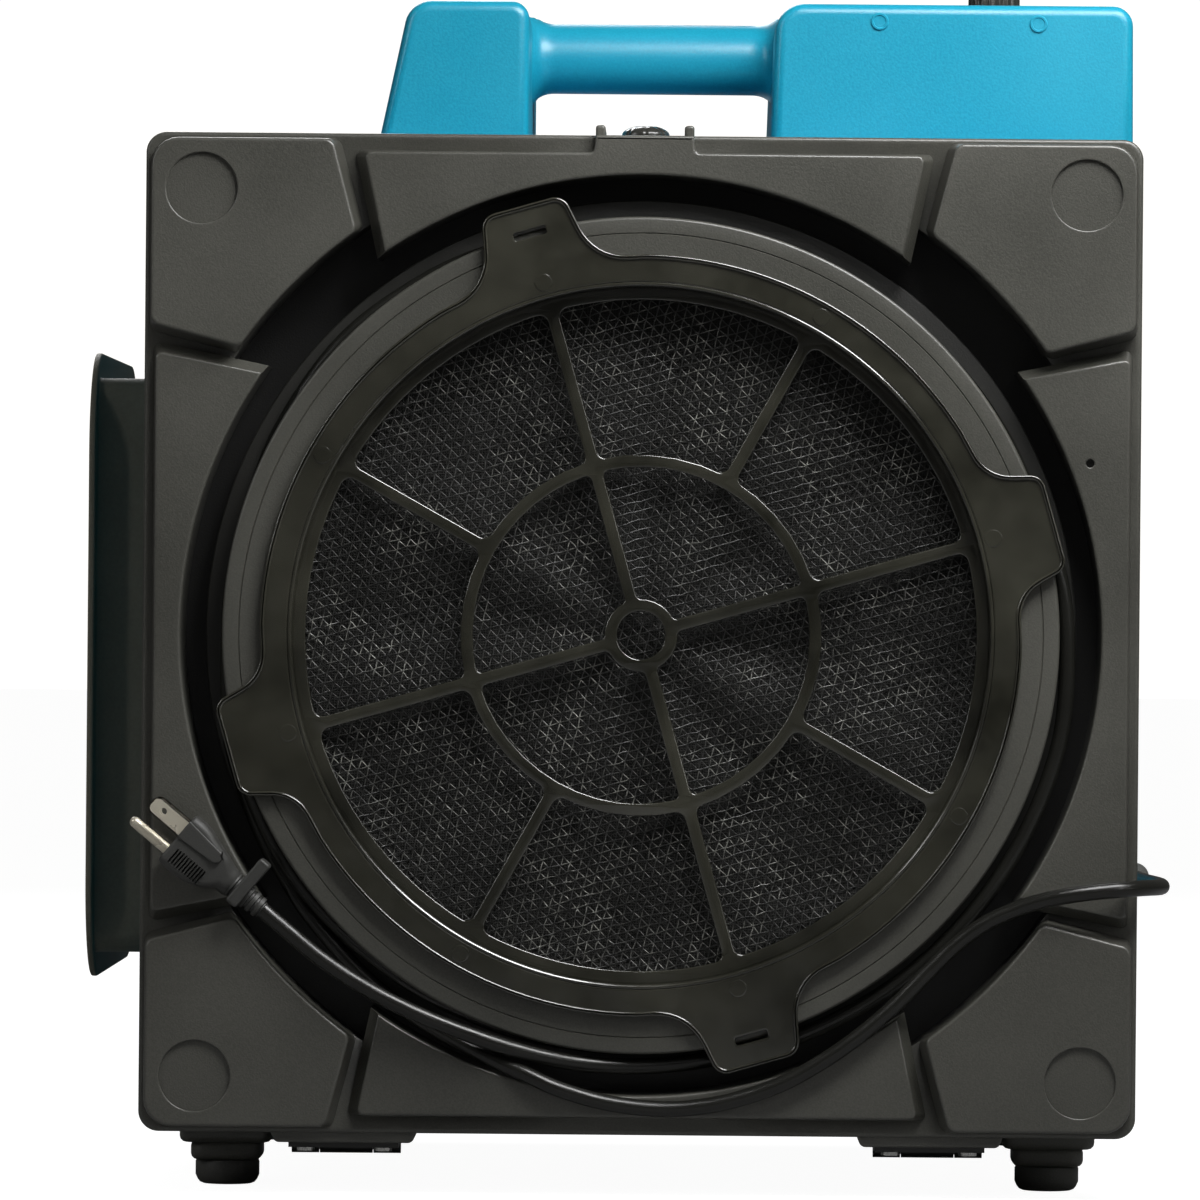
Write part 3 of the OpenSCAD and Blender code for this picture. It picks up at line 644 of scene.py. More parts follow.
def studio():
    scene = bpy.context.scene
    data = bpy.data.cameras.new("camera")
    data.lens = 241.4
    data.sensor_width = 36.0
    data.shift_x = -0.0675
    data.shift_y = 0.0058
    data.clip_end = 60.0
    camera = bpy.data.objects.new("camera", data)
    scene.collection.objects.link(camera)
    camera.matrix_world = (Matrix.Translation((AXIS_X + 0.0174, -3.705, AXIS_Z + 0.0126))
                           @ Matrix.Rotation(math.radians(90), 4, "X")
                           @ Matrix.Rotation(math.radians(0.5), 4, "Z"))
    scene.camera = camera

    build = bmesh.new()
    bmesh.ops.create_grid(build, x_segments=2, y_segments=2, size=20.0)
    mesh = bpy.data.meshes.new("floor")
    build.to_mesh(mesh)
    build.free()
    floor = as_object("floor", mesh)
    floor.location.z = cad_low.z
    pale, tree, shader, place = finish_of("floor_paint", Roughness=0.9)
    tree.links.new(two_tone(tree, noise_of(tree, place, 3.0), (0.22, 0.22, 0.22), (0.26, 0.26, 0.26)),
                   shader.inputs["Base Color"])
    seen = add(tree, "ShaderNodeLightPath").outputs["Is Camera Ray"]
    shader.inputs["Emission Color"].default_value = (1, 1, 1, 1)
    tree.links.new(spread_to(tree, seen, 0.0, 0.96, (0.0, 1.0)), shader.inputs["Emission Strength"])
    mesh.materials.append(pale)

    world = bpy.data.worlds.new("pale_room")
    world.use_nodes = True
    sky = world.node_tree.nodes["Background"]
    sky.inputs["Color"].default_value = (1.0, 0.985, 0.955, 1)
    seen = add(world.node_tree, "ShaderNodeLightPath").outputs["Is Camera Ray"]
    world.node_tree.links.new(spread_to(world.node_tree, seen, 0.06, 1.1, (0.0, 1.0)),
                              sky.inputs["Strength"])
    scene.world = world
    scene.view_settings.view_transform = "Standard"

    target = Vector((AXIS_X, 0, AXIS_Z))
    for name, spot, size, power in (
            ("top_light", (0.38, -0.60, 1.00), (0.7, 0.35), 14.5),
            ("right_light", (1.6, -1.7, 1.2), (0.22, 1.2), 6.0),
            ("left_light", (-1.9, -1.4, 1.25), (0.22, 1.2), 8.5),
            ("front_light", (0.75, -3.3, 1.55), (0.22, 0.8), 1.2),
            ("back_light", (-0.6, 2.4, 1.8), (1.2, 1.2), 30.0)):
        lamp = bpy.data.lights.new(name, "AREA")
        lamp.shape = "RECTANGLE"
        lamp.size, lamp.size_y = size
        lamp.energy = power
        light = bpy.data.objects.new(name, lamp)
        light.location = spot
        light.rotation_euler = (target - Vector(spot)).to_track_quat("-Z", "Y").to_euler()
        scene.collection.objects.link(light)


# ---- supply cord ----

# Route of the lead, from the gland round the door's edge to the drum: right, along Y, up from the axis
LEAD = [(0.224, -0.064, -0.108), (0.224, -0.090, -0.108), (0.2255, -0.120, -0.108), (0.228, -0.150, -0.108),
        (0.229, -0.165, -0.108), (0.2289, -0.182, -0.108), (0.2263, -0.193, -0.108),
        (0.220, -0.203, -0.108),
        (0.2105, -0.210, -0.1085), (0.199, -0.2125, -0.1095), (0.187, -0.2125, -0.1112),
        (0.175, -0.2105, -0.1138), (0.163, -0.2085, -0.118), (0.150, -0.2065, -0.1245),
        (0.138, -0.2058, -0.1335), (0.126, -0.2058, -0.1455), (0.112, -0.2058, -0.160),
        (0.097, -0.2058, -0.173), (0.080, -0.2058, -0.185), (0.061, -0.2058, -0.1953),
        (0.037, -0.2058, -0.203), (0.013, -0.2058, -0.2058), (-0.012, -0.2058, -0.2035),
        (-0.034, -0.2056, -0.1975), (-0.049, -0.2038, -0.191), (-0.062, -0.200, -0.1856),
        (-0.078, -0.196, -0.178), (-0.095, -0.193, -0.1685), (-0.112, -0.1908, -0.1565)]
# Route of the tail, from the drum to the plug
TAIL = [(0.040, -0.190, -0.183), (0.020, -0.1915, -0.1866), (0.0, -0.1935, -0.188),
        (-0.020, -0.1965, -0.1873),
        (-0.038, -0.2005, -0.1845), (-0.056, -0.2045, -0.1798), (-0.074, -0.207, -0.1738),
        (-0.091, -0.2087, -0.1673), (-0.108, -0.210, -0.1595), (-0.124, -0.2113, -0.1506),
        (-0.139, -0.2122, -0.1405), (-0.1515, -0.2125, -0.1302), (-0.1633, -0.2125, -0.1203)]
# The two turns in the drum's groove, clockwise: angle in degrees, radius of the strand's centre, level
TURNS = [(234.4, 0.1924, -0.1908), (224, 0.1900, -0.1884), (212, 0.1876, -0.1864), (198, 0.1855, -0.1862),
         (182, 0.1795, -0.1862), (165, 0.1785, -0.1862), (150, 0.1814, -0.1862), (135, 0.1830, -0.1862),
         (120, 0.1814, -0.1862), (104, 0.1785, -0.1862), (60, 0.1782, -0.1862), (20, 0.1782, -0.1862),
         (-10, 0.1788, -0.1862), (-50, 0.1792, -0.1862), (-76, 0.1793, -0.1863), (-94, 0.1800, -0.1884),
         (-110, 0.1811, -0.1917), (-125.6, 0.1822, -0.1940), (-145, 0.1840, -0.1940),
         (-163, 0.1832, -0.1940),
         (-182, 0.1796, -0.1940), (-204, 0.1788, -0.1940), (-240, 0.1786, -0.1940), (-300, 0.1785, -0.1940),
         (-338, 0.1803, -0.1940), (-358, 0.1858, -0.1940), (-376, 0.1886, -0.1940), (-410, 0.1886, -0.1938),
         (-425, 0.1881, -0.1922), (-437.7, 0.1873, -0.1900)]


def smooth_between(keys, angle):
    """Radius and level at an angle, eased between the keys."""
    for (a0, r0, y0), (a1, r1, y1) in zip(keys, keys[1:]):
        if a0 >= angle >= a1:
            t = (a0 - angle) / (a0 - a1)
            t = t * t * (3 - 2 * t)
            return r0 + (r1 - r0) * t, y0 + (y1 - y0) * t
    return keys[-1][1:]


def smooth_route(points, per_step):
    """Evenly stepped points of a smooth curve through the points."""
    fine = []
    for i in range(len(points) - 1):
        a, b = points[max(i - 1, 0)], points[i]
        c, d = points[i + 1], points[min(i + 2, len(points) - 1)]
        for k in range(8):
            t = k / 8
            fine.append(0.5 * ((2 * b) + (c - a) * t + (2 * a - 5 * b + 4 * c - d) * t ** 2
                               + (3 * b - a - 3 * c + d) * t ** 3))
    fine.append(points[-1])
    length = sum((q - p).length for p, q in zip(fine, fine[1:]))
    count = round(length / per_step)
    even, walked, target = [fine[0]], 0.0, length / count
    for p, q in zip(fine, fine[1:]):
        step = (q - p).length
        while walked + step >= target * len(even) and len(even) < count:
            even.append(p.lerp(q, (target * len(even) - walked) / step))
        walked += step
    even.append(fine[-1])
    return even, length


def tube_mesh(name, centres, radius_at, sides=18):
    """A closed tube along the centres, with UVs that run along it."""
    build = bmesh.new()
    uv = build.loops.layers.uv.new("along_cord")
    normal = Vector((0.13, 0.2, 1))
    rings, travelled = [], [0.0]
    for i, centre in enumerate(centres):
        tangent = (centres[min(i + 1, len(centres) - 1)] - centres[max(i - 1, 0)]).normalized()
        normal = (normal - normal.dot(tangent) * tangent).normalized()
        side = tangent.cross(normal)
        rings.append([build.verts.new(centre + radius_at(i) * (
            math.cos(math.tau * k / sides) * normal + math.sin(math.tau * k / sides) * side))
            for k in range(sides)])
        if i:
            travelled.append(travelled[-1] + (centre - centres[i - 1]).length)
    for i in range(len(rings) - 1):
        for k in range(sides):
            j = (k + 1) % sides
            face = build.faces.new((rings[i][k], rings[i][j], rings[i + 1][j], rings[i + 1][k]))
            for loop, (row, part) in zip(face.loops, ((i, k), (i, k + 1), (i + 1, k + 1), (i + 1, k))):
                loop[uv].uv = (travelled[row] * 10, part / sides)
    cap(build, [rings[0]])
    cap(build, [rings[-1]])
    return finish_mesh(name, build, 60)


def supply_cord():
    winding = []
    for step in range(1, 135):
        angle = TURNS[0][0] - step * (TURNS[0][0] - TURNS[-1][0]) / 135
        radius, level = smooth_between(TURNS, angle)
        winding.append((radius * math.cos(math.radians(angle)), level,
                        radius * math.sin(math.radians(angle))))
    points = [Vector((AXIS_X + x, y, AXIS_Z + z)) for x, y, z in LEAD + winding + TAIL]
    centres, length = smooth_route(points, 0.0035)
    cord = tube_mesh("supply_cord", centres, lambda i: CORD_D / 2)
    wear(cord, CORD, None, "cord_jacket", "cord_lead", "cord_coil", "cord_tail")
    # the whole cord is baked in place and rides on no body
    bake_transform(cord)


# ---- door: one moulding with corner pads, panels and the cord drum ----

PAD_SPOT = (0.1925, 0.193)                       # recess in each corner pad
QUARTERS = ((1, 1), (-1, 1), (-1, -1), (1, -1))


def frame_point(angle, half_w, half_h, radius):
    """Where a line from the centre leaves a rounded rectangle."""
    c, s = math.cos(angle), math.sin(angle)
    reach = min(half_w / abs(c) if c else 9, half_h / abs(s) if s else 9)
    u, v = reach * c, reach * s
    if abs(u) > half_w - radius and abs(v) > half_h - radius:
        cu, cv = math.copysign(half_w - radius, u), math.copysign(half_h - radius, v)
        along_ray = cu * c + cv * s
        reach = along_ray + math.sqrt(along_ray ** 2 - cu ** 2 - cv ** 2 + radius ** 2)
    return reach


def door_lip():
    """Square plate round the channel, its face sloping down to the channel's edge."""
    half_w = (door_high.x - door_low.x) / 2
    half_h, corner, steps = 0.218, 0.009, 240
    diagonals = [math.pi / 4 + math.pi / 2 * k for k in range(4)]
    angles = [math.tau * i / steps for i in range(steps)] + [
        a + math.radians(0.14 * k + 0.003) for a in diagonals for k in range(-16, 17)]
    angles = sorted(a % math.tau for a in angles)
    build = bmesh.new()

    def loop(step, level):
        reach = [frame_point(a, half_w - step, half_h - step, corner - step / 2) for a in angles]
        return ring_of_vertices(build, [(r * math.cos(a), r * math.sin(a)) for r, a in zip(reach, angles)],
                                level, door)

    def round_loop(radius, drop, base=None):
        made = []
        for a in angles:
            limit = frame_point(a, half_w - 0.0035, half_h - 0.0035, corner)
            share = min(1.0, max(0.0, (limit - 0.217) / 0.025))
            r = min(radius, limit, frame_point(a, half_w - 0.0070, 0.2092, corner))
            level = LIP_Y + drop * share if base is None else base
            made.append(build.verts.new(door(r * math.cos(a), r * math.sin(a), level)))
        return made

    loops = [loop(step, level) for step, level in edge_rows(DOOR_Y, LIP_Y, 0.0015, 4)]
    loops += [loop(0.003, LIP_Y + 0.0001), round_loop(0.216, 0.006), round_loop(0.215, 0.0066),
              round_loop(0.215, 0, DOOR_Y)]
    for lower, upper in zip(loops, loops[1:] + loops[:1]):
        wall(build, lower, upper)
    return finish_mesh("door_lip", build)


def corner_pads():
    top = softened([(0.2145, 0.134, 0.005), (0.2145, 0.215, 0.012), (0.1355, 0.215, 0.005),
                    (0.125, 0.1751, 0.004)]
                   + plain(arc(0.215, 52.6, 37.1, 14)) + [(0.1756, 0.124, 0.004)])
    base = softened([(0.2153, 0.1313, 0.005), (0.2153, 0.2158, 0.012), (0.1328, 0.2158, 0.005),
                     (0.1227, 0.1765, 0.004)] + plain(arc(0.215, 53.3, 36.4, 14))
                    + [(0.1772, 0.1218, 0.004)])
    rows = [(0, FLOOR_Y), (0, LIP_Y + 0.0005)] + edge_rows(LIP_Y, PAD_Y, 0.0013)[1:]
    build = bmesh.new()
    for u, v in QUARTERS:
        spot = circle(0.0155, 48, (u * PAD_SPOT[0], v * PAD_SPOT[1]))
        add_plate(build, mirrored(top, u, v), rows, holes=[(spot, PAD_Y + 0.0017)],
                  base_outline=mirrored(base, u, v))
    return finish_mesh("corner_pads", build)


def side_panels():
    rows = [(0, FLOOR_Y), (0, LIP_Y + 0.0005)] + edge_rows(LIP_Y, PANEL_Y, 0.0012)[1:]
    curve, base_curve = plain(arc(0.2006, 124.34, 55.66, 40)), plain(arc(0.2006, 125.45, 54.55, 40))
    low = softened([(0.1225, 0.210, 0.003), (-0.1225, 0.210, 0.003)] + curve)
    low_base = softened([(0.1265, 0.2108, 0.003), (-0.1265, 0.2108, 0.003)] + base_curve)
    tab = [(0.0222, 0.2102, 0.0022), (0.0215, 0.2178, 0.0010), (-0.0215, 0.2178, 0.0010),
           (-0.0222, 0.2102, 0.0022)]
    high = softened([(0.1225, 0.210, 0.003)] + tab + [(-0.1225, 0.210, 0.003)] + curve)
    high_base = softened([(0.1265, 0.2108, 0.003)] + tab + [(-0.1265, 0.2108, 0.003)] + base_curve)
    upright = softened([(0.2125, -0.1225, 0.003),
                        (0.2125, 0.1225, 0.003)] + plain(arc(0.2006, 34.35, -34.35, 40)))
    upright_base = softened([(0.2133, -0.1265, 0.003), (0.2133, 0.1265, 0.003)]
                            + plain(arc(0.2006, 35.45, -35.45, 40)))
    build = bmesh.new()
    add_plate(build, high, rows, base_outline=high_base)
    add_plate(build, mirrored(low, 1, -1), rows, base_outline=mirrored(low_base, 1, -1))
    for flip in (1, -1):
        port = [(circle(0.0018, 20, (0.195, 0.0766)), PANEL_Y + 0.004)] if flip == 1 else ()
        add_plate(build, mirrored(upright, flip, 1), rows, holes=port,
                  base_outline=mirrored(upright_base, flip, 1))
    return finish_mesh("side_panels", build)


def cord_drum():
    """Drum that the cord winds on: floor of the channel, back flange, core, front flange and bore."""
    front = DRUM_Y
    profile = [(0.156, DOOR_Y), (0.2155, DOOR_Y), (0.2155, FLOOR_Y), (0.1735, FLOOR_Y),
               (0.172, FLOOR_Y - 0.0015),
               (0.172, front + 0.022)]
    profile += round_corner(0.1897, front + 0.0212, 0.0008, 90, 0, 3)
    profile += round_corner(0.1897, front + 0.0198, 0.0008, 0, -90, 3)
    profile += [(0.172, front + 0.019), (0.172, front + 0.003), (0.1817, front + 0.003)]
    profile += round_corner(0.181, front + 0.0015, 0.0015, 45, -90, 6)
    profile += [(0.1756, front), (0.1752, front + 0.0005), (0.1748, front), (0.1568, front),
                (0.156, front + 0.0008),
                (0.156, front + 0.0125), (0.1585, front + 0.0127), (0.1585, front + 0.0163),
                (0.156, front + 0.0165)]
    return lathe("winding_drum", profile, door, 240)


def latch_tongue():
    """Two rounded ears beside the latch knob, and the bridge that holds it."""
    build = bmesh.new()
    for flip in (1, -1):
        ear = softened([(0.0172, 0.212, 0), (0.0215, 0.212, 0), (0.0215, 0.2222, 0.0014),
                        (0.0172, 0.2222, 0.0014)], 5)
        add_plate(build, mirrored(ear, flip, 1), box_rows(PANEL_Y + 0.0008, DOOR_Y - 0.001, 0.0010))
    bridge = softened([(-0.0168, 0.2137, 0), (0.0168, 0.2137, 0), (0.0168, 0.2169, 0.001),
                       (-0.0168, 0.2169, 0.001)])
    add_plate(build, bridge, box_rows(DOOR_Y - 0.002, -0.128, 0.0008))
    return finish_mesh("latch_tongue", build)


def hinge_bosses():
    """Two thick ribs under the door that its hinge leaves screw to."""
    build = bmesh.new()
    for side in (-1, 1):
        u = side * 0.128
        shape = softened([(u - 0.030, -0.2225, 0.003), (u + 0.030, -0.2225, 0.003),
                          (u + 0.033, -0.2155, 0.0025),
                          (u - 0.033, -0.2155, 0.0025)])
        add_plate(build, shape, box_rows(LIP_Y + 0.0022, DOOR_Y - 0.005, 0.0012))
    return finish_mesh("hinge_bosses", build)


# ---- pre-filter: smoked ring, spoked wheel and net ----

def ring_shape():
    outline = []
    for k in range(4):
        half, reach, flare = (0.0185, 0.194, 0.022) if k % 2 == 0 else (0.021, 0.187, 0.017)
        foot = half + 0.006
        corner = math.sqrt(0.166 ** 2 - foot ** 2)
        tab = [(foot, corner, flare), (half, reach, 0.007), (-half, reach, 0.007), (-foot, corner, flare)]
        outline += [(*turned(p[:2], TAB_TURN + math.pi / 2 * k), p[2]) for p in tab]
        next_half = 0.021 if k % 2 == 0 else 0.0185
        top = math.degrees(TAB_TURN) + 90 * (k + 1)
        start = top + math.degrees(math.asin((half + 0.028) / 0.166))
        end = top + 90 - math.degrees(math.asin((next_half + 0.028) / 0.166))
        outline += plain(arc(0.166, start, end, 24))
    return softened(outline, 8)


def smoked_ring():
    slots = [([turned(p, TAB_TURN + turn) for p in box_outline(0.0145, 0.0036, 0.0010, (0, 0.1815))], None)
             for turn in (0, math.pi)]
    ring = plate("ring", ring_shape(), edge_rows(DRUM_Y - 0.0004, DRUM_Y - 0.0035, 0.0016, 5),
                 holes=[(circle(0.1540, 180), None)] + slots,
                 hole_rows=edge_rows(DRUM_Y - 0.0004, DRUM_Y - 0.0035, 0.0004, 2))
    bead = plate("bead", ring_shape(), edge_rows(DRUM_Y - 0.0028, DRUM_Y - 0.0045, 0.0008, 4),
                 holes=[(inset(ring_shape(), 0.0021), None)],
                 hole_rows=edge_rows(DRUM_Y - 0.0028, DRUM_Y - 0.0045, 0.0008, 4))
    profile = [(0.1541, DRUM_Y + 0.0165), (0.1541, DRUM_Y - 0.0033)]
    profile += round_corner(0.1531, DRUM_Y - 0.0027, 0.0009, 0, -180, 5) + [(0.1522, DRUM_Y + 0.0165)]
    dish = lathe("dish", profile, door, 180)
    lugs = []
    for k in range(4):
        angle = TAB_TURN + math.pi / 2 * k
        lug = [turned(p, angle) for p in box_outline(0.014, 0.0042, 0.0006, (0, 0.1559))]
        lugs.append(plate("lug", lug, box_rows(DRUM_Y + 0.0160, DRUM_Y + 0.0132, 0.0004)))
    return joined("smoked_ring", [ring, bead, dish] + lugs)


def sector(start, end, inner, outer, half, corner):
    """Opening between two spokes, angles in radians."""
    out_off, in_off = math.asin(half / outer), math.asin(half / inner)
    far = arc(outer, math.degrees(start + out_off), math.degrees(end - out_off), 12)
    near = arc(inner, math.degrees(end - in_off), math.degrees(start + in_off), 5)
    points = plain(far + near)
    for i in (0, len(far) - 1, len(far), len(points) - 1):
        points[i] = (*points[i][:2], corner)
    return softened(points, 4)


def spoked_wheel():
    half = 0.0027
    holes = [(circle(0.0105, 40), None)]
    first = math.pi / 2 + TAB_TURN
    for k in range(4):
        holes.append((sector(first + math.pi / 2 * k, first + math.pi / 2 * (k + 1), 0.016, 0.0735, half,
                             0.0025),
                      None))
    for k in range(8):
        holes.append((sector(first + math.pi / 4 * k, first + math.pi / 4 * (k + 1), 0.079, 0.1466, half,
                             0.004),
                      None))
    rows = edge_rows(DRUM_Y + 0.012, DRUM_Y + 0.009, 0.0007, 3)
    return plate("spoked_wheel", circle(0.1526, 180), rows, holes=holes, hole_rows=rows[1:-1])


def ring_marks(tree):
    """Eight small round moulding marks on the ring."""
    mark = plate("mark", circle(0.0039, 28), edge_rows(DRUM_Y - 0.0033, DRUM_Y - 0.0037, 0.0002, 2),
                 place=flat)
    return copies("ring_marks", tree, mark, door, Count=8, Radius=0.1592, Start=TAB_TURN)


def belly(radius, angle):
    """How far the net sags back between the spokes, as a share of its deepest."""
    between = 0.5 - 0.5 * math.cos(8 * (angle - math.pi / 2 - TAB_TURN))
    rim = min(1.0, max(0.0, (0.150 - radius) / 0.02))
    hub = min(1.0, radius / 0.05)
    return (0.6 + 0.4 * between * hub) * rim ** 0.5


def net_tree():
    """Three crossed sets of fine strands, sagging between the spokes."""
    tree, given = geometry_tree("net", [
        ("Reach", "Float", 0.1513), ("Pitch", "Float", 0.004), ("Strand", "Float", 0.00032),
        ("Step", "Float", 0.003), ("Turn", "Float", 0.0), ("Sag", "Float", 0.0014),
        ("Wrinkle", "Float", 0.0062)])

    def sums(kind, a, b=None, c=None):
        inputs = {k: v for k, v in enumerate((a, b, c)) if v is not None}
        return add(tree, "ShaderNodeMath", inputs, operation=kind).outputs[0]

    span = sums("MULTIPLY", given["Reach"], 2.0)
    rows = add(tree, "FunctionNodeFloatToInt", {0: sums("DIVIDE", span, given["Pitch"])}).outputs[0]
    steps = add(tree, "FunctionNodeFloatToInt", {0: sums("DIVIDE", span, given["Step"])}).outputs[0]
    one = add(tree, "GeometryNodeCurvePrimitiveLine", {
        "Start": add(tree, "ShaderNodeCombineXYZ",
                     {"X": sums("MULTIPLY", given["Reach"], -1.0)}).outputs[0],
        "End": add(tree, "ShaderNodeCombineXYZ", {"X": given["Reach"]}).outputs[0]}).outputs[0]
    strand = add(tree, "GeometryNodeResampleCurve", {"Curve": one, "Count": steps}).outputs[0]
    spots = add(tree, "GeometryNodeMeshLine", {
        "Count": rows,
        "Start Location": add(tree, "ShaderNodeCombineXYZ",
                              {"Y": sums("MULTIPLY", given["Reach"], -1.0)}).outputs[0],
        "Offset": add(tree, "ShaderNodeCombineXYZ", {"Y": given["Pitch"]}).outputs[0]}).outputs["Mesh"]
    families = tree.nodes.new("GeometryNodeJoinGeometry")
    for k in range(3):
        laid = add(tree, "GeometryNodeInstanceOnPoints", {"Points": spots, "Instance": strand}).outputs[0]
        turn = add(tree, "ShaderNodeCombineXYZ",
                   {"Z": sums("ADD", given["Turn"], k * math.pi / 3)}).outputs[0]
        moved = add(tree, "GeometryNodeTransform", {
            "Geometry": laid, "Rotation": turn, "Translation": (0.0, 0.0, 0.0003 * k)}).outputs[0]
        tree.links.new(moved, families.inputs[0])
    real = add(tree, "GeometryNodeRealizeInstances", {"Geometry": families.outputs[0]}).outputs[0]
    place = tree.nodes.new("GeometryNodeInputPosition").outputs[0]
    parts = add(tree, "ShaderNodeSeparateXYZ", {"Vector": place}).outputs
    radius = sums("SQRT", sums("ADD", sums("MULTIPLY", parts[0], parts[0]),
                               sums("MULTIPLY", parts[1], parts[1])))
    angle = sums("ARCTAN2", parts[1], parts[0])
    clipped = add(tree, "GeometryNodeDeleteGeometry", {
        "Geometry": real, "Selection": sums("GREATER_THAN", radius, given["Reach"])},
        domain="POINT").outputs[0]
    turned_by = sums("MULTIPLY", sums("SUBTRACT", angle, math.pi / 2 + TAB_TURN), 8.0)
    between = sums("MULTIPLY_ADD", sums("COSINE", turned_by), -0.5, 0.5)
    hub = sums("MINIMUM", sums("DIVIDE", radius, 0.05), 1.0)
    rim = add(tree, "ShaderNodeMapRange", {
        "Value": radius, "From Min": 0.130, "From Max": 0.150, "To Min": 1.0, "To Max": 0.0}).outputs[0]
    share = sums("MULTIPLY", sums("MULTIPLY_ADD", sums("MULTIPLY", between, hub), 0.75, 0.25),
                 sums("SQRT", rim))
    ripple = add(tree, "ShaderNodeTexNoise", {"Vector": place, "Scale": 24.0, "Detail": 1.5}).outputs["Fac"]
    depth = sums("MULTIPLY", share, sums("MULTIPLY_ADD", ripple, given["Wrinkle"], given["Sag"]))
    loose = add(tree, "ShaderNodeTexNoise",
                {"Vector": place, "Scale": 210.0, "Detail": 1.0}).outputs["Color"]
    shifted = add(tree, "ShaderNodeVectorMath", {0: loose, 1: (0.5, 0.5, 0.5)},
                  operation="SUBTRACT").outputs[0]
    strayed = add(tree, "ShaderNodeVectorMath", {0: shifted, 1: (0.0022, 0.0022, 0.0030)},
                  operation="MULTIPLY").outputs[0]
    sunk = add(tree, "ShaderNodeCombineXYZ", {"Z": depth}).outputs[0]
    offset = add(tree, "ShaderNodeVectorMath", {0: strayed, 1: sunk}, operation="ADD").outputs[0]
    shaped = add(tree, "GeometryNodeSetPosition", {"Geometry": clipped, "Offset": offset}).outputs[0]
    section = add(tree, "GeometryNodeCurvePrimitiveCircle",
                  {"Resolution": 3, "Radius": given["Strand"]}).outputs[0]
    drawn = add(tree, "GeometryNodeCurveToMesh", {
        "Curve": shaped, "Profile Curve": section, "Fill Caps": True}).outputs[0]
    close_tree(tree, drawn, NYLON_NET_PAINTED_GLINTS)
    return tree


def intake_net():
    level = DRUM_Y + 0.01225
    return grown("intake_net", net_tree(), {"Turn": TAB_TURN},
                 placing(lambda u, v, w: door(u, v, level + w)), 180)


def net_lining():
    """Thin dark cloth behind the net, with the same sag."""
    build = bmesh.new()
    rings, parts = 22, 128
    sides = []
    for back in (0.0006, 0.0012):
        centre = build.verts.new(door(0, 0, DRUM_Y + 0.0124 + back + 0.0016))
        loops = []
        for i in range(1, rings + 1):
            radius = 0.1510 * i / rings
            loops.append([build.verts.new(door(
                radius * math.cos(a), radius * math.sin(a),
                DRUM_Y + 0.0124 + back + 0.0066 * belly(radius, a)))
                for a in (math.tau * k / parts for k in range(parts))])
        for k in range(parts):
            build.faces.new((centre, loops[0][k], loops[0][(k + 1) % parts]))
        for lower, upper in zip(loops, loops[1:]):
            wall(build, lower, upper)
        sides.append(loops[-1])
    wall(build, sides[0], sides[1])
    return finish_mesh("net_lining", build, 180)


# ---- cabinet, handle and base ----

TOP_V = 0.2132                                   # cabinet's top above the axis
HANDLE_V = 0.283
BAR_Y, BAR_V, BAR_R = -0.013, 0.2635, 0.016


def side(x):
    """Places (u, v, level) on the cabinet's right-hand wall: back, up, and out from x."""
    return lambda u, v, level: Vector((AXIS_X + x + level, u, AXIS_Z + v))


def top(v):
    """Places (u, v, level) above the height v."""
    return lambda a, b, level: Vector((AXIS_X + a, b, AXIS_Z + v + level))


def cabinet_fields():
    """Shallow raised fields that stiffen the cabinet's right wall and back."""
    rise = edge_rows(-0.001, 0.0014, 0.0010, 3)
    pieces = [
        plate("field", box_outline(0.270, 0.340, 0.030, (0.055, 0.0), 8), rise, place=side(0.213),
              holes=[(box_outline(0.150, 0.010, 0.005, (0.070, 0.110 - 0.022 * k)),
                      -0.0004) for k in range(5)]),
        plate("field", box_outline(0.350, 0.350, 0.040, (0, 0), 8), rise,
              place=lambda u, v, level: door(u, v, 0.200 + level),
              holes=[(box_outline(0.230, 0.230, 0.030, (0, 0), 8), -0.0004)])]
    return joined("cabinet_fields", pieces)

def handle_block():
    shape = softened([(-0.1209, TOP_V, 0), (-0.0527, TOP_V, 0), (-0.0527, HANDLE_V, 0.008),
                      (-0.1062, HANDLE_V, 0.012)], 8)
    return plate("handle_block", shape, box_rows(-0.108, 0.082, 0.0045, 4))


def control_box():
    shape = softened([(0.0555, TOP_V, 0), (0.2179, TOP_V, 0), (0.2174, HANDLE_V, 0.009),
                      (0.0577, HANDLE_V, 0.013)], 8)
    return plate("control_box", shape, box_rows(-0.108, 0.150, 0.0045, 4))


def handle_bar():
    """Round bar that swells into the blocks at its ends."""
    low, high, flare = -0.0580, 0.0630, 0.010
    build = bmesh.new()
    loops = []
    for i in range(61):
        u = low + (high - low) * i / 60
        near = min(u - (-0.0527), 0.0577 - u)
        t = min(1.0, max(0.0, 1 - near / flare))
        swell = 0.007 * (1 - math.sqrt(max(0.0, 1 - t ** 2.2)))
        loop = []
        for k in range(56):
            a = math.tau * k / 56
            radius = BAR_R + swell
            v = BAR_V + radius * math.sin(a)
            loop.append(build.verts.new(Vector((AXIS_X + u, BAR_Y + radius * math.cos(a),
                                                AXIS_Z + min(v, HANDLE_V - 0.0012)))))
        loops.append(loop)
    for lower, upper in zip(loops, loops[1:]):
        wall(build, lower, upper)
    cap(build, [loops[0]])
    cap(build, [loops[-1]])
    return finish_mesh("handle_bar", build, 40)


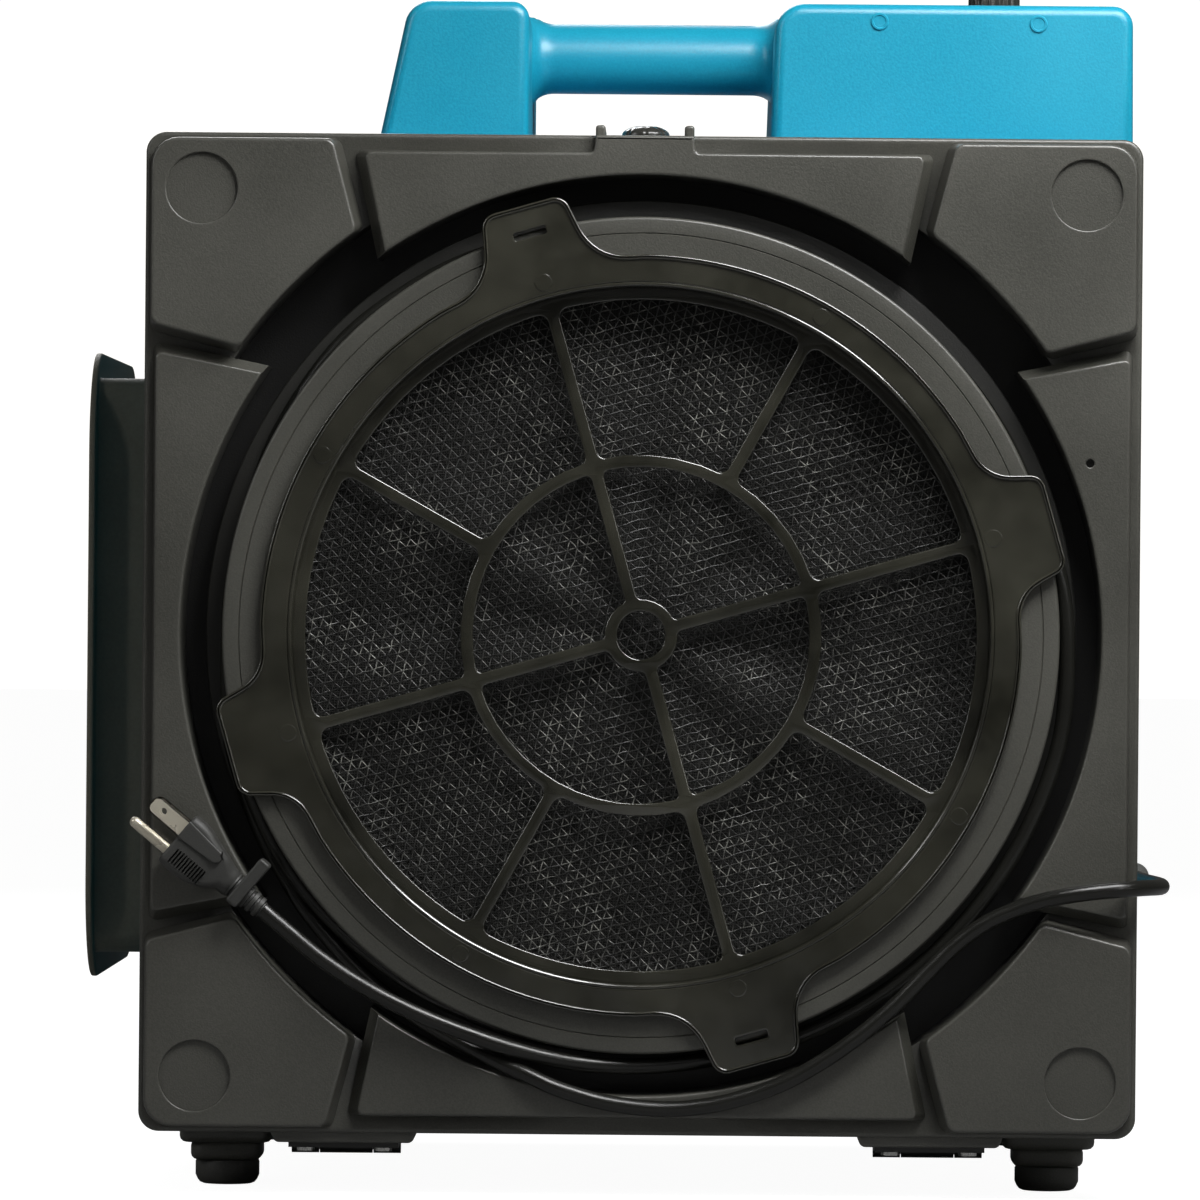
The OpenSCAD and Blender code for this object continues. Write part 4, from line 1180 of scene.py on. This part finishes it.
def base():
    """Shallow tray under the cabinet, a stepped boss over each foot and two blocks behind the hinges."""
    build = bmesh.new()
    tray = softened([(-0.204, -0.150, 0.008), (0.204, -0.150, 0.008), (0.204, 0.192, 0.008),
                     (-0.204, 0.192, 0.008)], 6)

    def lying(u, y, level):
        return Vector((AXIS_X + u, y, level))

    add_plate(build, tray, box_rows(AXIS_Z - 0.2132, 0.0270, 0.0025), place=lying)
    for u in (-0.182, 0.182):
        for y in (-0.128, 0.170):
            for side, low, high in ((0.0410, 0.0190, 0.0280), (0.0315, 0.0110, 0.0200)):
                boss = box_outline(side, side, 0.006, (u, y))
                add_plate(build, boss, box_rows(high, low, 0.0028), place=lying)
    for u in (-0.128, 0.128):
        block = box_outline(0.060, 0.034, 0.004, (u, DOOR_Y + 0.023))
        add_plate(build, block, box_rows(0.0280, 0.0226, 0.0022), place=lying)
    return finish_mesh("base", build)


def rubber_feet():
    build = bmesh.new()
    profile = [(0, 0.0008), (0.0050, 0.0008), (0.0052, 0.0003), (0.0056, 0), (0.0108, 0), (0.0122, 0.0006),
               (0.0132, 0.0018), (0.0142, 0.0040), (0.0142, 0.0098), (0.0138, 0.0106), (0.0130, 0.0109),
               (0, 0.0109)]
    for u in (-0.182, 0.182):
        for y in (-0.128, 0.170):
            add_lathe(build, profile, lambda a, b, level, u=u, y=y: Vector((AXIS_X + u + a, y + b, level)),
                      48)
    return finish_mesh("rubber_feet", build)


def screw_head(name, radius, height, place):
    """Domed screw head with a cross recess."""
    arm, slim = 0.52 * radius, 0.15 * radius
    cross = [(arm, -slim), (arm, slim), (slim, slim), (slim, arm), (-slim, arm), (-slim, slim),
             (-arm, slim),
             (-arm, -slim), (-slim, -slim), (-slim, -arm), (slim, -arm), (slim, -slim)]
    rows = [(0, 0), (0.02 * radius, 0.35 * height), (0.10 * radius, 0.66 * height),
            (0.22 * radius, 0.88 * height),
            (0.36 * radius, height)]
    return plate(name, circle(radius, 32), rows, place=place, holes=[(cross, 0.3 * height)],
                 hole_rows=[(0, 0.3 * height), (0, height)])


# ---- controls ----

def speed_knob():
    """Fluted knob with a raised pointer."""
    centre = (0.157, -0.055)
    fluted = [((0.0113 + 0.00035 * math.cos(18 * a)) * math.cos(a),
               (0.0113 + 0.00035 * math.cos(18 * a)) * math.sin(a))
              for a in (math.tau * k / 216 for k in range(216))]
    build = bmesh.new()
    spot = lambda a, b, level: top(HANDLE_V)(centre[0] + a, centre[1] + b, level)
    rows = [(0, 0.0026), (0, 0.0076), (0.0004, 0.0086), (0.0016, 0.0150)] \
        + [(0.0016 + 0.0008 * (1 - math.cos(t)), 0.0150 + 0.0006 * math.sin(t)) for t in (0.5, 1.0, 1.57)]
    add_plate(build, fluted, rows, place=spot)
    add_plate(build, box_outline(0.0036, 0.0195, 0.0017), edge_rows(0.0120, 0.0169, 0.0009, 3), place=spot)
    return finish_mesh("dial", build)


def breaker_collar():
    place = lambda a, b, level: top(HANDLE_V)(0.157 + a, 0.020 + b, level)
    return lathe("breaker_collar", [(0.0044, -0.030), (0.0118, -0.030), (0.0118, -0.0046),
                                    (0.0060, -0.0046),
                                    (0.0060, 0.0001), (0.0089, 0.0001), (0.0090, 0.0018), (0.0082, 0.0028),
                                    (0.0072, 0.0030), (0.0052, 0.0026), (0.0044, 0.0012)], place, 64)


def reset_button():
    place = lambda a, b, level: top(HANDLE_V)(0.157 + a, 0.020 + b, level)
    return lathe("reset_cap", [(0, -0.0005), (0.0041, -0.0005), (0.0041, 0.0048), (0.0038, 0.0054),
                                  (0.0030, 0.0058), (0, 0.0059)], place, 40)


def front_plugs():
    """Two small round blanking plugs in the control box's front."""
    build = bmesh.new()
    for u, v in ((0.104, 0.275), (0.175, 0.2745)):
        add_lathe(build, [(0, -0.1075), (0.0040, -0.1075), (0.0040, -0.1084), (0.0036, -0.1088),
                          (0.0029, -0.1088),
                          (0.0026, -0.1084), (0, -0.1083)],
                  lambda a, b, level, u=u, v=v: door(u + a, v + b, level), 32)
    return finish_mesh("front_plugs", build)


def latch_knob():
    """Small domed turn-knob with a dimple and eight grip notches."""
    place = lambda a, b, level: Vector((AXIS_X + a, -0.140 + b, AXIS_Z + 0.2171 + level))
    notched = [((0.0106 - 0.0003 * max(0.0, math.cos(8 * a)) ** 6) * math.cos(a),
                (0.0106 - 0.0003 * max(0.0, math.cos(8 * a)) ** 6) * math.sin(a))
               for a in (math.tau * k / 192 for k in range(192))]
    rows = [(0, 0), (0, 0.0043)] + [(0.0106 * (1 - math.cos(t)), 0.0043 + 0.0042 * math.sin(t))
                                    for t in (0.12, 0.25, 0.4, 0.55, 0.7, 0.85, 1.0, 1.12)]
    return plate("turn_knob", notched, rows, place=place,
                 holes=[(circle(0.0022, 24), 0.0066)],
                 hole_rows=[(0, 0.0066), (0.0004, 0.0076), (0.0012, rows[-1][1])])


# ---- cord gland and plug ----

def cord_gland():
    """Flange on the wall, an elbow, and a ribbed sleeve that tapers on to the cord."""
    build = bmesh.new()
    at_wall = lambda a, b, level: Vector((AXIS_X + level, -0.052 + a, AXIS_Z - 0.108 + b))
    add_lathe(build, [(0, 0.2131)] + [(0.0110, 0.2131), (0.0110, 0.2158), (0.0102, 0.2170),
                                      (0.0078, 0.2174),
                                      (0.0074, 0.2180), (0.0074, 0.2200), (0, 0.2200)], at_wall, 48)
    loops = []
    upward = Vector((0, 0, 1))
    bend, thick = 0.0065, 0.0058
    for i in range(15):
        a = math.pi / 2 * i / 14
        centre = Vector((AXIS_X + 0.2175 + bend * math.sin(a), -0.052 - bend * (1 - math.cos(a)), 0))
        across = Vector((math.sin(a), math.cos(a), 0))
        centre.z = AXIS_Z - 0.108
        loops.append([build.verts.new(centre + thick * (math.cos(t) * across + math.sin(t) * upward))
                      for t in (math.tau * k / 40 for k in range(40))])
    for lower, upper in zip(loops, loops[1:]):
        wall(build, lower, upper)
    cap(build, [loops[0]])
    cap(build, [loops[-1]])
    sleeve = [(0, -0.0560), (0.0063, -0.0560), (0.0065, -0.0570), (0.0065, -0.0595)]
    count = 6
    for k in range(count):
        y = -0.0600 - 0.0038 * k
        r = 0.0062 - 0.0003 * k
        sleeve += [(r, y), (r, y - 0.0007), (r - 0.0012, y - 0.0011), (r - 0.0013, y - 0.0030),
                   (r - 0.0002, y - 0.0034)]
    sleeve += [(0.0043, -0.0828), (0.0038, -0.0833), (0, -0.0833)]
    add_lathe(build, sleeve, lambda a, b, level: Vector((AXIS_X + 0.224 + a, level, AXIS_Z - 0.108 + b)),
              40)
    return finish_mesh("strain_relief", build)


TILT = math.radians(40)
PLUG_AXIS = Vector((-math.cos(TILT), 0, math.sin(TILT)))
PLUG_DOWN = Vector((-math.sin(TILT), 0, -math.cos(TILT)))
PLUG_FACE = Vector((AXIS_X - 0.2003, -0.2125, AXIS_Z - 0.0893))


def plug(a, b, level):
    """A point of the plug: a towards the blades, b towards the ground pin, level towards the viewer."""
    return PLUG_FACE + a * PLUG_AXIS + b * PLUG_DOWN + Vector((0, -level, 0))


def plug_body():
    """Moulded plug: a lofted grip, ribbed neck and raised tongue."""
    build = bmesh.new()
    sections = [(0, -0.0119, 0.0119, 0.0092), (-0.0004, -0.0124, 0.0124, 0.0097),
                (-0.0014, -0.0127, 0.0127, 0.0100),
                (-0.0060, -0.0127, 0.0130, 0.0100), (-0.0100, -0.0121, 0.0130, 0.0100),
                (-0.0130, -0.0110, 0.0127, 0.0099),
                (-0.0160, -0.0100, 0.0120, 0.0097), (-0.0190, -0.0092, 0.0108, 0.0093),
                (-0.0220, -0.0085, 0.0095, 0.0088),
                (-0.0245, -0.0076, 0.0075, 0.0081), (-0.0265, -0.0069, 0.0064, 0.0074),
                (-0.0290, -0.0064, 0.0063, 0.0067),
                (-0.0310, -0.0063, 0.0063, 0.0063), (-0.0318, -0.0056, 0.0056, 0.0056)]
    loops = []
    for a, low, high, half in sections:
        corner = 0.0034 if a > -0.024 else 0.0034 + (half - 0.0036) * min(1.0, (-0.024 - a) / 0.007)
        corner = min(corner, half - 0.0001, (high - low) / 2 - 0.0001)
        shape = box_outline(high - low, 2 * half, corner, ((low + high) / 2, 0), 7)
        loops.append([build.verts.new(plug(a, b, level)) for b, level in shape])
    for lower, upper in zip(loops, loops[1:]):
        wall(build, lower, upper)
    cap(build, [loops[0]])
    cap(build, [loops[-1]])
    neck = [(0, -0.0300), (0.0060, -0.0300), (0.0060, -0.0322), (0.0052, -0.0328), (0.0052, -0.0385)]
    for k, r in enumerate((0.0054, 0.0051, 0.0048)):
        a = -0.0389 - 0.0033 * k
        neck += [(r, a), (r, a - 0.0017), (r - 0.0012, a - 0.0021), (r - 0.0012, a - 0.0030)]
    neck += [(0.0042, -0.0482), (0.0038, -0.0483), (0, -0.0483)]
    add_lathe(build, neck, lambda u, v, a: plug(a, u, v), 36)
    tongue = softened([(0.0, -0.0095, 0), (0.0, -0.0006, 0), (-0.0190, -0.0020, 0.003),
                       (-0.0232, -0.0048, 0.0030),
                       (-0.0200, -0.0078, 0.003)], 5)
    add_plate(build, tongue, edge_rows(0.0090, 0.0108, 0.0006, 3), place=plug)
    return finish_mesh("plug_moulding", build, 38)


def plug_ridges(tree):
    ridge = plate("ridge", box_outline(0.0008, 0.0075, 0.00035), edge_rows(0.0094, 0.0104, 0.0002, 2),
                  place=flat)
    return copies("plug_ridges", tree, ridge, lambda a, b, level: plug(-0.0115 + a, 0.00625 + b, level),
                  Columns=11, Rows=1, Width=0.015, Height=0.0)


def plug_clip():
    bar = box_outline(0.0057, 0.0238, 0.0013, (-0.0363, -0.0052))
    return plate("keeper_bar", bar, box_rows(-0.0080, 0.0082, 0.0010), place=plug)


def plug_blades():
    """Two flat blades with rounded tips and a hole near the end of each."""
    blade = softened([(-0.004, -0.0082, 0), (-0.004, -0.00185, 0), (0.0175, -0.00185, 0.0022),
                      (0.0175, -0.0082, 0.0022)], 5)
    build = bmesh.new()
    for depth in (-0.00635, 0.00635):
        add_plate(build, blade, box_rows(depth - 0.00075, depth + 0.00075, 0.0003, 2), place=plug,
                  holes=[(circle(0.00155, 24, (0.0117, -0.00502)), None)],
                  hole_rows=box_rows(depth - 0.00075, depth + 0.00075, 0.0001, 2))
    return finish_mesh("flat_pins", build)


def plug_ground_pin():
    profile = [(0, -0.004), (0.0024, -0.004)] + [(0.0024 * math.cos(t), 0.0182 + 0.0024 * math.sin(t))
                                                 for t in (0, 0.3, 0.6, 0.9, 1.2, 1.4)] + [(0, 0.0206)]
    return lathe("earth_pin", profile, lambda u, v, a: plug(a, 0.0069 + u, v), 32)


# ---- outlet and fan ----

def outlet(a, b, level):
    """A point round the fan's axis: back, up, and out to the left."""
    return Vector((AXIS_X - level, 0.0635 + a, AXIS_Z - 0.016 + b))


def impeller_parts():
    """Hub cup and a ring of twisted blades."""
    hub = lathe("hub", [(0.0061, 0.1400), (0.0118, 0.1400), (0.0120, 0.1680), (0.0340, 0.1700),
                        (0.0340, 0.1400),
                        (0.0380, 0.1400), (0.0380, 0.1730), (0.0368, 0.1752), (0.0340, 0.1760),
                        (0.0061, 0.1760)],
                outlet, 72)
    build = bmesh.new()
    loops = []
    inner, outer, rows = 0.0360, 0.1172, 18
    for i in range(rows + 1):
        share = i / rows
        radius = inner + (outer - inner) * share
        pitch = math.radians(58 - 26 * share)
        chord = 0.040 + 0.012 * share
        loop = []
        for k in range(24):
            t = math.tau * k / 24
            along_chord = 0.5 * chord * math.cos(t)
            thick = (0.0022 - 0.0010 * share) * math.sin(t) + 0.004 * (1 - (2 * along_chord / chord) ** 2)
            around = along_chord * math.sin(pitch) - thick * math.cos(pitch)
            out = along_chord * math.cos(pitch) + thick * math.sin(pitch)
            turn = around / radius
            loop.append(build.verts.new(Vector((radius * math.cos(turn), radius * math.sin(turn),
                    0.1580 + out * 0.62))))
        loops.append(loop)
    for lower, upper in zip(loops, loops[1:]):
        wall(build, lower, upper)
    cap(build, [loops[0]])
    cap(build, [loops[-1]])
    blade = finish_mesh("blade", build, 50)
    blades = copies("blades", ring_tree("blade_ring", BLACK), blade, outlet, Count=5, Radius=0.0)
    return joined("fan_wheel", [hub, blades])


# ---- building ----

studio()

# door lip and winding drum take the slate with painted shade in the channel
wear(door_lip(), SHADED, "door", "slate_frame", "door_frame")
for made in (corner_pads(), side_panels(), latch_tongue(), hinge_bosses()):
    wear(made, SLATE, "door", "slate_frame")
wear(cord_drum(), SHADED, "door", "slate_frame", "cord_drum")
wear(latch_knob(), BLACK, "latch", "black_moulding", "latch_knob")

wear(smoked_ring(), SMOKED, "prefilter", "smoked_plastic", "prefilter_frame")
wear(ring_marks(ring_tree("mark_ring", SMOKED)), SMOKED, "prefilter", "smoked_plastic")
wear(spoked_wheel(), SMOKED, "prefilter", "smoked_plastic", "prefilter_grille")
wear(intake_net(), NYLON_NET_PAINTED_GLINTS, "prefilter", "nylon_net", "prefilter_mesh")
wear(net_lining(), LINING, "prefilter", "nylon_net")

wear(softened_node("housing_shell", "cabinet", 0.003, 3), BLUE, "housing", "blue_shell", "housing_shell")
wear(cabinet_fields(), BLUE, "housing", "blue_shell")
wear(handle_block(), BLUE, "housing", "blue_shell", "top_handle")
wear(control_box(), BLUE, "housing", "blue_shell")
wear(handle_bar(), BLUE, "housing", "blue_shell")
wear(front_plugs(), BLUE, "housing", "blue_shell")
# base tray in the slate lightened as painted light
wear(base(), SLATE_BASE_PAINTED_LIGHT, "housing", "slate_frame", "base_tray")
wear(rubber_feet(), RUBBER_PAINTED_LIGHT, "housing", "black_rubber",
     "foot_front_left", "foot_front_right", "foot_rear_left", "foot_rear_right")
wear(softened_node("rear_bumpers", "bumpers", 0.0015, 3), RUBBER_PAINTED_LIGHT, "housing", "black_rubber", "rear_bumpers")

wear(speed_knob(), BLACK, "speed_dial", "black_moulding", "speed_knob")
wear(breaker_collar(), BLACK, "housing", "black_moulding", "breaker_body")
wear(reset_button(), RED, "reset", "reset_red", "reset_button")

# outlet collar in black plastic lightened to grey as painted light
wear(softened_node("outlet_collar", "outlet_frame", 0.0009, 2), COLLAR_PAINTED_LIGHT, "housing", "black_moulding",
     "outlet_collar")
wear(impeller_parts(), BLACK, "fan", "black_moulding", "impeller")

grid = grid_tree("row_of_parts", ZINC)
collar = copies("collar_screw_heads", grid, screw_head("head", 0.0045, 0.0024, flat),
                lambda a, b, level: outlet(a, b, 0.2173 + level), Columns=2, Rows=2, Width=0.224,
                Height=0.224)
wear(collar, ZINC, "housing", "zinc_screw", "collar_screws")

gland = wear(cord_gland(), RUBBER_PAINTED_LIGHT, "housing", "black_rubber", "cord_gland")
body = wear(plug_body(), PLUG, "door", "plug_rubber", "plug_body")
ridges = wear(plug_ridges(grid_tree("ridge_row", PLUG)), PLUG, "door", "plug_rubber")
clip = wear(plug_clip(), PLUG, "door", "plug_rubber", "plug_clip")
blades = wear(plug_blades(), BRASS, "door", "plug_metal", "plug_blades")
pin = wear(plug_ground_pin(), BRASS, "door", "plug_metal", "plug_ground_pin")
supply_cord()

FINISHES = {
    "blue_shell": BLUE, "slate_frame": SLATE, "black_moulding": BLACK, "black_rubber": RUBBER_PAINTED_LIGHT,
    "cord_jacket": CORD, "zinc_screw": ZINC, "black_steel": STEEL, "motor_paint": ENAMEL,
    "motor_alloy": ALLOY, "carbon_foam": CARBON, "filter_card": CARD, "filter_paper": PAPER,
    "nylon_net": NYLON_NET_PAINTED_GLINTS, "smoked_plastic": SMOKED, "plug_rubber": PLUG, "plug_metal": BRASS,
    "reset_red": RED}
for part in frame["record"]["subparts"]:
    shown = frame["nodes"][part["node"]]
    finish = FINISHES[part["material_slot"]]
    if not shown.material_slots:
        shown.data.materials.append(finish)
    for slot in shown.material_slots:
        slot.link = "OBJECT"
        slot.material = finish
